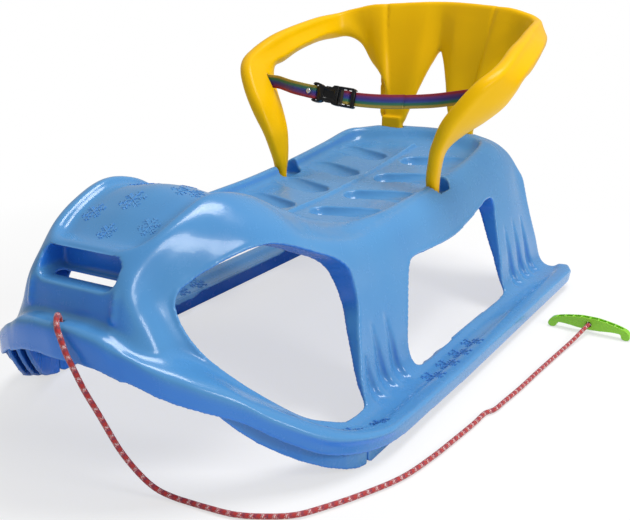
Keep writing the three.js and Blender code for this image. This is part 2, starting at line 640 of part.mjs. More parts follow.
function backrest() {
  const half = backShares.map(([ridge, low, ...thick]) => (
    { ridge: at(ridge), low: at(low), thick: thick.map((t) => t * square) }));
  const flip = (v) => new THREE.Vector3(-v.x, v.y, v.z);
  const other = half.slice(0, -1).reverse().map((s) => (
    { ridge: flip(s.ridge), low: flip(s.low), thick: s.thick }));
  const stations = [...half, ...other];
  const middles = stations.map((s) => s.ridge.clone().add(s.low).multiplyScalar(0.5));
  const rings = stations.map((s, i) => {
    const axis = s.ridge.clone().sub(s.low);
    const length = axis.length();
    axis.normalize();
    const before = middles[Math.max(0, i - 1)];
    const after = middles[Math.min(stations.length - 1, i + 1)];
    const outward = after.clone().sub(before).cross(axis).normalize();
    const [top, mid, low] = s.thick;
    const topReach = Math.min(1.1 * top, 0.4 * length);
    const lowReach = Math.min(1.1 * low, 0.4 * length);
    const sides = [
      [length, 0], [length - 0.27 * topReach, 0.75 * top], [length - topReach, top], [length / 2, mid],
      [lowReach, low], [0.27 * lowReach, 0.75 * low], [0, 0]];
    const back = sides.slice(1, -1).reverse().map(([d, w]) => [d, -w]);
    const place = ([d, w]) => s.low.clone().addScaledVector(axis, d).addScaledVector(outward, w);
    return [...sides, ...back].map(place);
  });
  const outline = rings[0].map((p) => new THREE.Vector2(p.x, p.y));
  let solid = outwardSolid(loft(rings, outline));
  [1, -1].forEach((side) => {
    const tenon = prism(roundRect(rearTenonWidth, rearLegDepth, rearLegDepth / 3, 3), rearFootZ, rearTopZ);
    solid = solid.add(solidOf(moved(tenon, side * rearLegX, rearLegY, 0)));
    const slot = new THREE.BoxGeometry(4 * square, slotWidth, webWidth + 2 * slotClear);
    solid = solid.subtract(solidOf(moved(slot, side * (slotEndX - 2 * square), slotY, slotZ)));
  });
  return geometryOf(solid);
}
addPiece('backrest', backrest(), plastic(seatYellow));

// Belt and buckle. They are laid out straight, along X, and then hung on the belt's own line.
const beltRoute = new THREE.CatmullRomCurve3([
  [-15.2, 16.8, 28.2], [-13.2, 16.8, 28.15], [-12, 16.5, 28], [-10, 15.7, 27.8], [-7, 15.2, 27.5],
  [-0.8, 15.2, 27], [3, 15.3, 27], [6.1, 15.5, 27.2], [9.5, 15.8, 27.5], [12, 16.5, 27.9],
  [13.2, 16.8, 28.1], [15.2, 16.8, 28.2]].map(at));
const beltLine = beltRoute.getPoints(160);

function beltAt(x) {
  const k = Math.min(beltLine.length - 2, Math.max(0, beltLine.findIndex((p) => p.x > x) - 1));
  const t = (x - beltLine[k].x) / (beltLine[k + 1].x - beltLine[k].x);
  const leanSpan = beltLeanEnd - beltLeanStart;
  const lean = beltLean * THREE.MathUtils.smoothstep(beltLeanEnd - Math.abs(x), 0, leanSpan);
  return { place: beltLine[k].clone().lerp(beltLine[k + 1], t), lean };
}

// The buckle is rigid, so its whole length shares one straight slope.
function buckleAt(x) {
  const start = beltAt(buckleStart);
  const end = beltAt(buckleEnd);
  const t = (x - buckleStart) / (buckleEnd - buckleStart);
  return { place: start.place.clone().lerp(end.place, t), lean: beltLean };
}

function hung(geometry) {
  const p = geometry.attributes.position;
  const v = new THREE.Vector3();
  for (let i = 0; i < p.count; i += 1) {
    v.fromBufferAttribute(p, i);
    const { place, lean } = v.x >= buckleStart && v.x <= buckleEnd ? buckleAt(v.x) : beltAt(v.x);
    const c = Math.cos(lean);
    const s = Math.sin(lean);
    p.setXYZ(i, v.x, place.y + v.y * c + v.z * s, place.z - v.y * s + v.z * c);
  }
  geometry.computeVertexNormals();
  return geometry;
}

// A ribbon of webbing standing on edge along a plan route.
function ribbon(points, steps) {
  const places = points.map(([x, y]) => new THREE.Vector3(x, y, 0));
  const curve = new THREE.CatmullRomCurve3(places, false, 'centripetal');
  const line = [];
  for (let i = 0; i <= steps; i += 1) line.push(curve.getPoint(i / steps));
  const left = [];
  const right = [];
  line.forEach((p, i) => {
    const half = line[Math.min(i + 1, steps)].clone().sub(line[Math.max(i - 1, 0)]).setLength(webThick / 2);
    left.push(new THREE.Vector2(p.x - half.y, p.y + half.x));
    right.push(new THREE.Vector2(p.x + half.y, p.y - half.x));
  });
  return prism([...left, ...right.reverse()], -webWidth / 2, webWidth / 2);
}

const layerY = webThick / 2 + gap; // half the distance between two layers
const rivetX = buckleStart - rivetHead;
const barEdge = barWidth / 3; // how far the webbing runs flat past a bar's edge

function strapRight() {
  const turn = buckleStart + barWidth + layerY + 2 * gap;
  const wide = barThick / 2 + 1.5 * gap + webThick / 2;
  const points = [
    [-slotEndX + 2 * gap, 0], [-13 * square, 0], [-11 * square, -layerY], [-9.5 * square, -layerY],
    [rivetX, -layerY], [rivetX + foldStart, -layerY], [buckleStart - barEdge, -wide * 0.9],
    [buckleStart + barEdge, -wide], [turn - webThick, -wide], [turn - gap, -wide * 0.75], [turn, 0],
    [turn - gap, wide * 0.75], [turn - webThick, wide], [buckleStart + barEdge, wide],
    [buckleStart - barEdge, wide * 0.9], [rivetX + foldStart, layerY], [rivetX, layerY],
    [rivetX - foldTail, layerY]];
  const web = solidOf(ribbon(points, 46));
  const hole = new THREE.CylinderGeometry(rivetShank / 2 + gap, rivetShank / 2 + gap, 2 * square, 12);
  return geometryOf(web.subtract(solidOf(moved(hole, rivetX, 0, 0))));
}

function strapLeft() {
  const points = [
    [tailEndX, tailY], [2 * square, tailY], [outerBarStart - barEdge, tailY],
    [outerBarStart - 1.625 * webThick, tailY * 0.4], [middleBar + 2.125 * webThick, -webThick],
    [middleBar + webThick, -frontY], [middleBar - webThick, -frontY],
    [middleBar - 2.25 * webThick, -webThick], [middleBar - 2.75 * webThick, webThick / 4],
    [middleBar - 2.25 * webThick, 1.5 * webThick], [middleBar - barEdge, mainY],
    [middleBar + 2 * barWidth, mainY], [2 * square, mainY], [tailEndX, mainY],
    [8 * square, mainY * 0.5], [11 * square, 0], [13 * square, 0], [slotEndX - 2 * gap, 0]];
  return ribbon(points, 60);
}
addPiece('strap_right', hung(strapRight()), plastic(webColour, 0.8));
addPiece('strap_left', hung(strapLeft()), plastic(webColour, 0.8));

function rivet() {
  const reach = webThick + 2 * gap;
  const shank = new THREE.CylinderGeometry(rivetShank / 2, rivetShank / 2, 2 * reach + gap, 12);
  const cap = new THREE.LatheGeometry([[0, 0], [0.5, 0], [0.5, 0.06], [0.38, 0.14], [0.2, 0.18], [0, 0.19]]
    .map(([r, h]) => new THREE.Vector2(r * rivetHead, h * rivetHead)), 20);
  const rear = cap.clone();
  rear.translate(0, reach, 0);
  const front = cap.clone().rotateX(Math.PI);
  front.translate(0, -reach, 0);
  const joined = solidOf(shank).add(solidOf(rear)).add(solidOf(front));
  return geometryOf(joined.translate([rivetX, 0, 0]));
}
const steel = new THREE.MeshStandardMaterial({ color: rivetGrey, roughness: 0.3, metalness: 1 });
addPiece('rivet', hung(rivet()), steel);

// Buckle outlines: shares of the piece's length, and of half the buckle's width.
const socketShares = [
  [0, 0.8], [0.027, 0.94], [0.081, 1], [0.189, 1], [0.297, 0.92], [0.392, 0.76], [0.459, 0.72],
  [0.703, 0.72], [0.77, 0.84], [0.811, 0.98], [0.973, 1], [1, 0.97],
];
const plugShares = [[0, 1], [0.868, 1], [0.956, 0.94], [1, 0.82]];
const prongShares = [
  [0, 0.5], [0, 0.72], [0.286, 0.7], [0.5, 0.68], [0.524, 0.8], [0.619, 0.82], [0.905, 0.76],
  [1, 0.66], [1, 0.5], [0.857, 0.46],
];
const halfBuckle = buckleWidth / 2;
const webHole = webWidth + 2 * slotClear;

function mirroredOutline(list, start, length) {
  const upper = list.map(([along, up]) => new THREE.Vector2(start + along * length, up * halfBuckle));
  const lower = [...upper].reverse().map((p) => new THREE.Vector2(p.x, -p.y));
  return [...upper, ...lower];
}

// A block centred on the belt's own line, from one place along it to another.
function block(from, to, depth, height, y = 0) {
  return solidOf(moved(new THREE.BoxGeometry(to - from, depth, height), (from + to) / 2, y, 0));
}

function buckleSocket() {
  const a = buckleStart;
  const outline = mirroredOutline(socketShares, a, socketLength);
  let solid = solidOf(frontPrism(outline, -buckleThick / 2, buckleThick / 2));
  solid = solid.subtract(block(a + socketSolid, mouthX + square, innerThick, innerWidth));
  solid = solid.subtract(block(a + barWidth, a + barWidth + barWindow, 2 * buckleThick, webHole));
  [1, -1].forEach((side) => {
    const step = side * (barThick / 2 + buckleThick / 2);
    solid = solid.subtract(block(a - barWidth, a + barWidth, buckleThick, webHole, step));
  });
  return geometryOf(solid);
}

function bucklePlug() {
  const a = mouthX + gap;
  const outline = mirroredOutline(plugShares, a, buckleEnd - a);
  const under = tailY - layerY - gap / 2 + plugThick / 2;
  const half = middleBarWidth / 2;
  return geometryOf(solidOf(frontPrism(outline, -plugThick / 2, plugThick / 2))
    .subtract(block(a + plugFront, outerBarStart, 2 * plugThick, webHole))
    .subtract(block(outerBarStart, 2 * buckleEnd - outerBarStart, plugThick, webHole, under))
    .add(block(middleBar - half, middleBar + half, middleBarThick, buckleWidth * 0.9))
    .add(block(a - tongueLength, a + gap, innerThick - 2 * prongClear, buckleWidth * 0.26)));
}

function prong(side) {
  const start = mouthX - gap;
  const outline = prongShares.map(([along, up]) => (
    new THREE.Vector2(start - along * prongLength, side * up * halfBuckle)));
  const half = innerThick / 2 - prongClear;
  return frontPrism(side > 0 ? outline : outline.reverse(), -half, half);
}
addPiece('buckle_socket', hung(buckleSocket()), plastic(buckleBlack, 0.45));
addPiece('buckle_plug', hung(bucklePlug()), plastic(buckleBlack, 0.45));
addPiece('buckle_prong_upper', hung(prong(1)), plastic(buckleBlack, 0.45));
addPiece('buckle_prong_lower', hung(prong(-1)), plastic(buckleBlack, 0.45));

// Pull cord, from inside the nose over the lip and along the floor to the grip.
const cordShares = [
  [0, -36.15, 15.02], [0, -36.16, 15.3], [0.06, -36.3, 15.65], [0.32, -36.66, 15.9],
    [0.68, -37.1, 15.84], [1, -37.45, 15.56],
  [1.25, -37.64, 15.15], [1.48, -37.7, 14.72], [2.04, -37.7, 13.29], [2.54, -37.65, 12.34],
    [3.4, -37.4, 10.34],
  [4.19, -36.8, 8.15], [4.7, -35.95, 5.72], [5, -35.5, 4.48], [5.54, -35.1, 3.32],
    [6.25, -34.7, 2.2], [7.07, -34.4, 1.35],
  [7.87, -34.1, 0.77], [9.16, -33.75, 0.36], [10.6, -33.57, 0.27], [12.08, -33.46, 0.27],
    [14.84, -33.07, 0.27],
  [17.09, -32.05, 0.27], [19.06, -30.62, 0.27], [20.56, -28.35, 0.27], [22.5, -24.6, 0.27],
    [24, -20.8, 0.27], [24.8, -16.3, 0.27],
  [25.2, -12.6, 0.27], [25.6, -8.2, 0.27], [25.75, -5.6, 0.27], [26.2, -4.6, 0.27],
    [26.5, -1.8, 0.27], [26.8, 1.6, 0.27],
  [27.1, 6.9, 0.27], [27.5, 12.9, 0.27], [27.9, 16.9, 0.45], [28.3, 19.6, 0.9],
    [28.5, 20.9, 1.12], [28.55, 21.6, 1.14],
  [28.55, 22.1, 1.14],
];

// A route that gives each of its stretches the same number of steps.
class Route extends THREE.CatmullRomCurve3 {
  getUtoTmapping(u) {
    return u;
  }
}

function cord() {
  const route = new Route(cordShares.map(at), false, 'centripetal');
  const ring = [];
  for (let k = 0; k < cordSides; k += 1) {
    const angle = (2 * Math.PI * k) / cordSides;
    ring.push(new THREE.Vector2(Math.cos(angle), Math.sin(angle)).multiplyScalar(cordDiameter / 2));
  }
  const steps = (cordShares.length - 1) * 2;
  const settings = { steps, extrudePath: route, bevelEnabled: false };
  return new THREE.ExtrudeGeometry(new THREE.Shape(ring), settings);
}

// A round knot with the cord's turns showing as three soft lobes.
function knot(width, height) {
  const geometry = new THREE.SphereGeometry(0.5, 18, 12);
  const p = geometry.attributes.position;
  const v = new THREE.Vector3();
  for (let i = 0; i < p.count; i += 1) {
    v.fromBufferAttribute(p, i);
    const turn = Math.atan2(v.z, v.x);
    const fade = 1 - Math.abs(2 * v.y) ** 3;
    v.multiplyScalar(1 - knotGroove * fade * (0.5 + 0.5 * Math.cos(3 * turn + 5 * v.y)));
    p.setXYZ(i, v.x * width, v.y * height, v.z * width);
  }
  return mergeVertices(geometry.deleteAttribute('uv').deleteAttribute('normal'), mergeReach);
}
addPiece('pull_cord', cord(), plastic(cordRed, 0.8));
const cordStart = at(cordShares[0]);
const cordEnd = at(cordShares[cordShares.length - 1]);
const knotOff = knotSize / 2 + gap;
const noseKnot = knot(knotSize, knotSize).rotateX(Math.PI / 2);
const gripKnot = knot(knotSize, knotSize);
moved(noseKnot, cordStart.x, cordStart.y, cordStart.z - knotOff);
moved(gripKnot, cordEnd.x, cordEnd.y + knotOff, cordEnd.z);
addPiece('knot_nose', noseKnot, plastic(cordRed, 0.8));
addPiece('knot_grip', gripKnot, plastic(cordRed, 0.8));

// Grip: it stands on its two ends. Half outline in the front view, along and up, in squares.
const gripShares = [
  [0, 1.96], [1, 1.94], [2, 1.8], [3, 1.62], [4, 1.36], [4.6, 1.1], [4.95, 0.65], [5, 0.3],
    [4.8, 0.06], [4.45, 0], [4.1, 0.1],
  [3.95, 0.35], [3.85, 0.62], [3.4, 0.7], [2.5, 0.66], [1.2, 0.52], [0, 0.49],
];

function grip() {
  const right = shares(gripShares);
  const left = right.slice(1, -1).reverse().map((p) => new THREE.Vector2(-p.x, p.y));
  const curve = smoothOutline([...right, ...left], 60);
  let solid = solidOf(frontPrism(curve, 0, gripThick));
  const pitch = (2 * pocketReach) / pocketCount;
  const keptOutline = curve.map((p) => new THREE.Vector2(p.x, p.y - pocketInset));
  const keep = solidOf(frontPrism(keptOutline, -gripThick, 2 * gripThick));
  for (let k = 0; k < pocketCount; k += 1) {
    const x = -pocketReach + (k + 0.5) * pitch;
    const box = new THREE.BoxGeometry(pitch - pocketRib, gripThick - 2 * pocketSkin, 2 * square);
    solid = solid.subtract(solidOf(moved(box, x, gripThick / 2, 2 * square)).subtract(keep));
  }
  const hole = new THREE.CylinderGeometry(gripHole / 2, gripHole / 2, 4 * gripThick, 16);
  solid = solid.subtract(solidOf(moved(hole, 0, 0, cordEnd.z)));
  const turned = solid.rotate([0, 0, gripTurnDegrees]);
  return geometryOf(turned.translate([cordEnd.x, cordEnd.y - gripThick - gap, 0]));
}
addPiece('grip', grip(), plastic(gripGreen, 0.45));

export default group;
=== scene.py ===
import math

import bmesh
import bpy
import numpy as np
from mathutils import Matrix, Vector
from mathutils.bvhtree import BVHTree


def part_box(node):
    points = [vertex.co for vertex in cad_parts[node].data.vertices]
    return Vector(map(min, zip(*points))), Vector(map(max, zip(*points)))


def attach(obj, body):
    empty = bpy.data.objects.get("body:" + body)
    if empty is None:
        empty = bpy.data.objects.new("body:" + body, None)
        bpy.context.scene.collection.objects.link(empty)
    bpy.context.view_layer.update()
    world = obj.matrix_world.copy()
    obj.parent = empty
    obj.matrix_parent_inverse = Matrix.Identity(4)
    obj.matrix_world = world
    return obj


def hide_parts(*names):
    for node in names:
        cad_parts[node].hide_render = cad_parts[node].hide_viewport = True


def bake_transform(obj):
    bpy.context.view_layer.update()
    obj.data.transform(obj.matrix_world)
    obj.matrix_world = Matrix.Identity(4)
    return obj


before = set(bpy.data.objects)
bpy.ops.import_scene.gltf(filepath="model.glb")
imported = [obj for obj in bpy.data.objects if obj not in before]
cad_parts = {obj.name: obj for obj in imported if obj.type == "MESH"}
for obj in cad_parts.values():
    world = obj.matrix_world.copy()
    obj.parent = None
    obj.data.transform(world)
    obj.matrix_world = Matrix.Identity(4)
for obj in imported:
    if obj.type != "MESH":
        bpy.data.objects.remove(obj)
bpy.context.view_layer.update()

# Camera
# The sled is seen from its front left, from a little above the backrest and about a metre away.
# The lens is the one that the photograph's perspective gives.
camera = bpy.data.objects.new("camera", bpy.data.cameras.new("camera"))
bpy.context.scene.collection.objects.link(camera)
camera.location = (0.54243, -0.87594, 0.42982)
camera.rotation_euler = (math.radians(72.26), 0, math.radians(31.05))
camera.data.lens = 53.04
camera.data.sensor_width = 36
bpy.context.scene.camera = camera
bpy.context.scene.view_settings.view_transform = "Standard"


# Pull cord
# A braided cord of sixteen fine strands, red with white and navy ones among them.
# It comes up through the ledge at the foot of the front panel, drops over the lip and lies on the floor.
square = 0.01  # the drawing grid that all point lists count in
middle_shift = 1.69 * square  # from the drawing's origin to the middle of the sled's length
cord_width = 0.005
cord_cell = 0.0007  # length of one ring of the cord's skin
braid_pitch = 0.0095  # one turn of a strand
braid_strands = 8  # in each direction
braid_low, braid_rise = 0.93, 0.07  # shares of the radius: between strands, and what a strand adds
braid_speck = 7.0  # how many strands a fleck can shift the pick by
fleck_scale, fibre_scale, fibre_relief = 900.0, 2500.0, 0.0003
braid_stops = [(0.0, "b0201e"), (0.3, "8e181c"), (0.44, "e9e4e4"), (0.53, "b8241f"), (0.74, "22244c"),
               (0.88, "b8281f")]

cord_points = [
    (0, -36.15, 15.02), (0, -36.16, 15.3), (0.06, -36.3, 15.65), (0.32, -36.66, 15.9),
    (0.68, -37.1, 15.84), (1, -37.45, 15.56), (1.25, -37.64, 15.15), (1.48, -37.7, 14.72),
    (2.04, -37.7, 13.29), (2.54, -37.65, 12.34), (3.4, -37.4, 10.34), (4.19, -36.8, 8.15),
    (4.7, -35.95, 5.72), (5, -35.5, 4.48), (5.54, -35.1, 3.32), (6.25, -34.7, 2.2), (7.07, -34.4, 1.35),
    (7.87, -34.1, 0.77), (9.16, -33.75, 0.36), (10.6, -33.57, 0.27), (12.08, -33.46, 0.27),
    (14.84, -33.07, 0.27), (17.09, -32.05, 0.27), (19.06, -30.62, 0.27), (20.56, -28.35, 0.27),
    (22.5, -24.6, 0.27), (24, -20.8, 0.27), (24.8, -16.3, 0.27), (25.2, -12.6, 0.27), (25.6, -8.2, 0.27),
    (25.75, -5.6, 0.27), (26.2, -4.6, 0.27), (26.5, -1.8, 0.27), (26.8, 1.6, 0.27), (27.1, 6.9, 0.27),
    (27.5, 12.9, 0.27), (27.9, 16.9, 0.45), (28.3, 19.6, 0.9), (28.5, 20.9, 1.12), (28.55, 21.6, 1.14),
    (28.55, 22.1, 1.14),
]


def placed(points):
    """Points of the drawing, in squares, as metres in the frame."""
    return np.asarray(points, float) * square - np.array([0, middle_shift, 0])


def spline(points, steps, closed=False):
    """A smooth curve through points, or through a grid's columns, with that many steps in each stretch."""
    points = np.asarray(points, float)
    if closed:
        ext = np.concatenate([points[-1:], points, points[:2]])
        count = len(points)
    else:
        first = 2 * points[:1] - points[1:2]
        last = 2 * points[-1:] - points[-2:-1]
        ext = np.concatenate([first, points, last])
        count = len(points) - 1
    steps = [steps] * count if isinstance(steps, int) else list(steps)
    rows = []
    for i in range(count):
        p0, p1, p2, p3 = ext[i:i + 4]
        d0, d1, d2 = (np.sqrt(np.maximum(np.linalg.norm(b - a, axis=-1, keepdims=True), 1e-7))
                      for a, b in ((p0, p1), (p1, p2), (p2, p3)))
        m1 = ((p1 - p0) / d0 - (p2 - p0) / (d0 + d1) + (p2 - p1) / d1) * d1
        m2 = ((p2 - p1) / d1 - (p3 - p1) / (d1 + d2) + (p3 - p2) / d2) * d1
        for k in range(steps[i]):
            t = k / steps[i]
            rows.append((2 * t**3 - 3 * t**2 + 1) * p1 + (t**3 - 2 * t**2 + t) * m1
                        + (3 * t**2 - 2 * t**3) * p2 + (t**3 - t**2) * m2)
    if not closed:
        rows.append(ext[-2])
    return np.array(rows)


def resampled(path, spacing):
    """The path with its points set evenly, about the spacing apart, and their distances along it."""
    along = np.concatenate([[0], np.cumsum(np.linalg.norm(np.diff(path, axis=0), axis=1))])
    even = np.linspace(0, along[-1], max(2, int(along[-1] / spacing) + 1))
    return np.stack([np.interp(even, along, path[:, k]) for k in range(3)], axis=1), even


def new_piece(name, points, faces, smooth=True):
    """A mesh object from points and faces."""
    mesh = bpy.data.meshes.new(name)
    mesh.from_pydata(np.asarray(points).tolist(), [], [list(f) for f in faces])
    mesh.update()
    mesh.shade_smooth() if smooth else mesh.shade_flat()
    piece = bpy.data.objects.new(name, mesh)
    bpy.context.scene.collection.objects.link(piece)
    return piece


def grid_faces(rows, cols, round_cols=False, start=0):
    """Four-cornered faces over a grid of points; round_cols joins the last column to the first."""
    across = cols if round_cols else cols - 1
    i, j = np.meshgrid(np.arange(rows - 1), np.arange(across), indexing="ij")
    a = start + i * cols + j
    b = start + i * cols + (j + 1) % cols
    return np.stack([a, b, b + cols, a + cols], axis=-1).reshape(-1, 4).tolist()


def tube(name, path, along, sides, radius):
    """A closed tube along a path. radius gives each ring's radii from its angles and its distance along."""
    tangents = np.gradient(path, axis=0)
    tangents /= np.linalg.norm(tangents, axis=1, keepdims=True)
    side = np.cross(tangents[0], (0.0, 0.0, 1.0))
    if np.linalg.norm(side) < 0.1:
        side = np.cross(tangents[0], (1.0, 0.0, 0.0))
    angles = np.linspace(0, 2 * math.pi, sides, endpoint=False)
    rings = []
    for point, tangent, reach in zip(path, tangents, along):
        side = side - tangent * np.dot(side, tangent)
        side /= np.linalg.norm(side)
        up = np.cross(tangent, side)
        r = radius(angles, reach)[:, None]
        rings.append(point + r * (np.cos(angles)[:, None] * side + np.sin(angles)[:, None] * up))
    faces = grid_faces(len(path), sides, round_cols=True)
    last = (len(path) - 1) * sides
    faces.append(list(range(sides))[::-1])
    faces.append([last + k for k in range(sides)])
    piece = new_piece(name, np.concatenate(rings), faces)
    layer = piece.data.uv_layers.new(name="UVMap")
    loops = np.zeros(len(piece.data.loops), int)
    piece.data.loops.foreach_get("vertex_index", loops)
    turn = (loops % sides) / sides
    walls = (len(path) - 1) * sides * 4
    corners = turn[:walls].reshape(-1, 4)
    seam = corners.max(axis=1) - corners.min(axis=1) > 0.5
    corners[seam] += corners[seam] < 0.5
    turn[:walls] = corners.reshape(-1)
    uv = np.stack([turn, np.asarray(along)[loops // sides]], axis=1)
    layer.data.foreach_set("uv", uv.astype(np.float32).ravel())
    return piece


def braided(base):
    """Radii of a braid: two sets of strands wind opposite ways and pass over and under each other."""
    def radius(angles, reach):
        turn = braid_strands * angles
        wind = 2 * math.pi * braid_strands * reach / braid_pitch
        crossing = np.sin((turn + wind) / 2) * np.sin((turn - wind) / 2)
        return base * (braid_low + braid_rise * np.sqrt(np.abs(crossing)))
    return radius


def fed(tree, node, inputs):
    """The node, with its inputs linked to other nodes' outputs or set to plain values."""
    for key, value in inputs.items():
        if isinstance(value, bpy.types.NodeSocket):
            tree.links.new(value, node.inputs[key])
        else:
            node.inputs[key].default_value = value
    return node


def shader_node(tree, kind, inputs=None, **settings):
    """A node of that kind, with its settings and its inputs."""
    node = tree.nodes.new(kind)
    for key, value in settings.items():
        setattr(node, key, value)
    return fed(tree, node, inputs or {})


def maths(tree, operation, first, second=0.0, third=0.0):
    """The output of a math node."""
    inputs = {0: first, 1: second, 2: third}
    return shader_node(tree, "ShaderNodeMath", inputs, operation=operation).outputs[0]


def noise(tree, scale, detail, **others):
    """The value of a noise texture."""
    return shader_node(tree, "ShaderNodeTexNoise", {"Scale": scale, "Detail": detail, **others}).outputs[0]


def bumped(tree, height, strength, distance):
    """The normal of a surface with that relief."""
    inputs = {"Height": height, "Strength": strength, "Distance": distance}
    return shader_node(tree, "ShaderNodeBump", inputs).outputs[0]


def separated(tree, vector):
    """A vector's three parts, as outputs."""
    return shader_node(tree, "ShaderNodeSeparateXYZ", {0: vector}).outputs


def colour(hexed):
    """A colour written as web hex, as the linear values that shaders take."""
    parts = [int(hexed[k:k + 2], 16) / 255 for k in (0, 2, 4)]
    return tuple(c / 12.92 if c <= 0.04045 else ((c + 0.055) / 1.055) ** 2.4 for c in parts) + (1.0,)


def ramped(tree, place, stops, interpolation):
    """The colour at a place on a ramp, from its stops' places and colours."""
    ramp = shader_node(tree, "ShaderNodeValToRGB", {0: place})
    ramp.color_ramp.interpolation = interpolation
    while len(ramp.color_ramp.elements) < len(stops):
        ramp.color_ramp.elements.new(0.5)
    for element, (at, shade) in zip(ramp.color_ramp.elements, stops):
        element.position = at
        element.color = colour(shade)
    return ramp.outputs[0]


def new_material(name):
    """An empty material with a Principled shader, and its tree."""
    material = bpy.data.materials.new(name)
    material.use_nodes = True
    tree = material.node_tree
    return material, tree, tree.nodes["Principled BSDF"]


def finish_with(piece, material, body):
    """Gives a piece its material and body."""
    piece.data.materials.clear()
    piece.data.materials.append(material)
    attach(piece, body)
    return piece


def cord_material():
    """Strands picked out by where they wind: most red, some white, some navy, with a fibre bump."""
    material, tree, shader = new_material("braided cord")
    uv = separated(tree, shader_node(tree, "ShaderNodeUVMap", uv_map="UVMap").outputs[0])
    turn = maths(tree, "MULTIPLY", uv[0], braid_strands)
    wind = maths(tree, "MULTIPLY", uv[1], braid_strands / braid_pitch)
    first = maths(tree, "FLOOR", maths(tree, "ADD", turn, wind))
    second = maths(tree, "FLOOR", maths(tree, "SUBTRACT", turn, wind))
    over = maths(tree, "MODULO", maths(tree, "ABSOLUTE", maths(tree, "ADD", first, second)), 2.0)
    strand = maths(tree, "ADD", maths(tree, "MULTIPLY", first, over),
                   maths(tree, "MULTIPLY", second, maths(tree, "SUBTRACT", 1.0, over)))
    pick = maths(tree, "MODULO", maths(tree, "ABSOLUTE", strand), float(braid_strands))
    speck = maths(tree, "MULTIPLY_ADD", noise(tree, fleck_scale, 3.0), braid_speck, -braid_speck / 2)
    place = maths(tree, "DIVIDE", maths(tree, "ADD", pick, speck), float(braid_strands))
    fed(tree, shader, {"Base Color": ramped(tree, place, braid_stops, "CONSTANT"),
                       "Normal": bumped(tree, noise(tree, fibre_scale, 2.0), 0.35, fibre_relief),
                       "Roughness": 0.62, "Sheen Weight": 0.25})
    return material


braid_finish = cord_material()
cord_path, cord_reach = resampled(spline(placed(cord_points), 12), cord_cell)
pull_cord = tube("braided_pull_cord", cord_path, cord_reach, sides=32, radius=braided(cord_width / 2))
finish_with(pull_cord, braid_finish, "sled")
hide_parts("pull_cord")


# Knots
# An overhand knot ends the cord at each end. Each is the same braided cord, pulled tight.
# One bears on the underside of the ledge, the other on the back of the grip.
knot_size = 0.011
knot_strand = 0.19 * knot_size  # the radius of the cord inside the knot
knot_rise = 1.6  # how far its turns stand apart, in the trefoil's own units
knot_cell = 0.0005


def tight_knot(name, centre, axis):
    """A cord wound as a trefoil and pulled so tight that its turns press together."""
    turns = np.linspace(0, 2 * math.pi, 121)
    shape = np.stack([np.sin(turns) + 2 * np.sin(2 * turns), np.cos(turns) - 2 * np.cos(2 * turns),
                      -np.sin(3 * turns) * knot_rise], axis=1)
    shape *= (knot_size / 2 - knot_strand) / 3
    if axis == "y":
        shape = shape[:, [0, 2, 1]]
    path, reach = resampled(shape + np.asarray(centre), knot_cell)
    return tube(name, path, reach, sides=20, radius=braided(knot_strand))


def node_centre(node):
    """The middle of a CAD node's box."""
    low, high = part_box(node)
    return (np.asarray(low) + np.asarray(high)) / 2


nose_knot = tight_knot("tied_knot_nose", node_centre("knot_nose"), "z")
grip_knot = tight_knot("tied_knot_grip", node_centre("knot_grip"), "y")
for knot, node in ((nose_knot, "knot_nose"), (grip_knot, "knot_grip")):
    finish_with(knot, braid_finish, "sled")
    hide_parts(node)


# Grip
# A bow of lime green polypropylene that stands on its two hooked ends.
# Its upper edge is cored out in eight pockets, and the cord goes through the hole in its middle.
grip_half = [
    (0, 1.96), (1, 1.94), (2, 1.8), (3, 1.62), (4, 1.36), (4.6, 1.1), (4.95, 0.65), (5, 0.3), (4.8, 0.06),
    (4.45, 0), (4.1, 0.1), (3.95, 0.35), (3.85, 0.62), (3.4, 0.7), (2.5, 0.66), (1.2, 0.52), (0, 0.49),
]
grip_depth = 0.009
grip_turn = math.radians(-1.5)
grip_pockets = 8
grip_pocket_reach = 0.041
grip_pocket_rib = 0.0016
grip_pocket_depth = 0.0034
grip_pocket_wall = 0.0014
grip_hole = 0.007
mould_gap = 0.0003


def prism(name, outline, low, high, plane="xy"):
    """A straight solid over a closed outline. plane xz runs along Y, and yz runs along X."""
    outline = np.asarray(outline, float)
    area = np.sum(outline[:, 0] * np.roll(outline[:, 1], -1) - np.roll(outline[:, 0], -1) * outline[:, 1])
    if (area < 0) != (plane == "xz"):
        outline = outline[::-1]
    count = len(outline)
    order = {"xy": (0, 1, 2), "xz": (0, 2, 1), "yz": (2, 0, 1)}[plane]
    ends = [np.column_stack([outline, np.full(count, level)])[:, order] for level in (low, high)]
    faces = [(k, (k + 1) % count, count + (k + 1) % count, count + k) for k in range(count)]
    faces += [list(range(count))[::-1], list(range(count, 2 * count))]
    return new_piece(name, np.concatenate(ends), faces, smooth=False)


def rounded_slot(width, height, sides=10):
    """The outline of a slot, round at both short ends."""
    angle = np.linspace(-math.pi / 2, math.pi / 2, sides + 1)
    right = np.stack([(width - height) / 2 + height / 2 * np.cos(angle), height / 2 * np.sin(angle)], axis=1)
    return np.concatenate([right, -right])


def rounded_box(width, height, corner, sides=8):
    """The outline of a rectangle with round corners."""
    points = []
    for quarter, (sx, sy) in enumerate(((1, 1), (-1, 1), (-1, -1), (1, -1))):
        for angle in np.linspace(0, math.pi / 2, sides + 1) + quarter * math.pi / 2:
            points.append((sx * (width / 2 - corner) + corner * math.cos(angle),
                           sy * (height / 2 - corner) + corner * math.sin(angle)))
    return np.array(points)


def circle(radius):
    """The outline of a round hole."""
    angles = np.linspace(0, 2 * math.pi, 32, endpoint=False)
    return np.stack([np.cos(angles), np.sin(angles)], axis=1) * radius


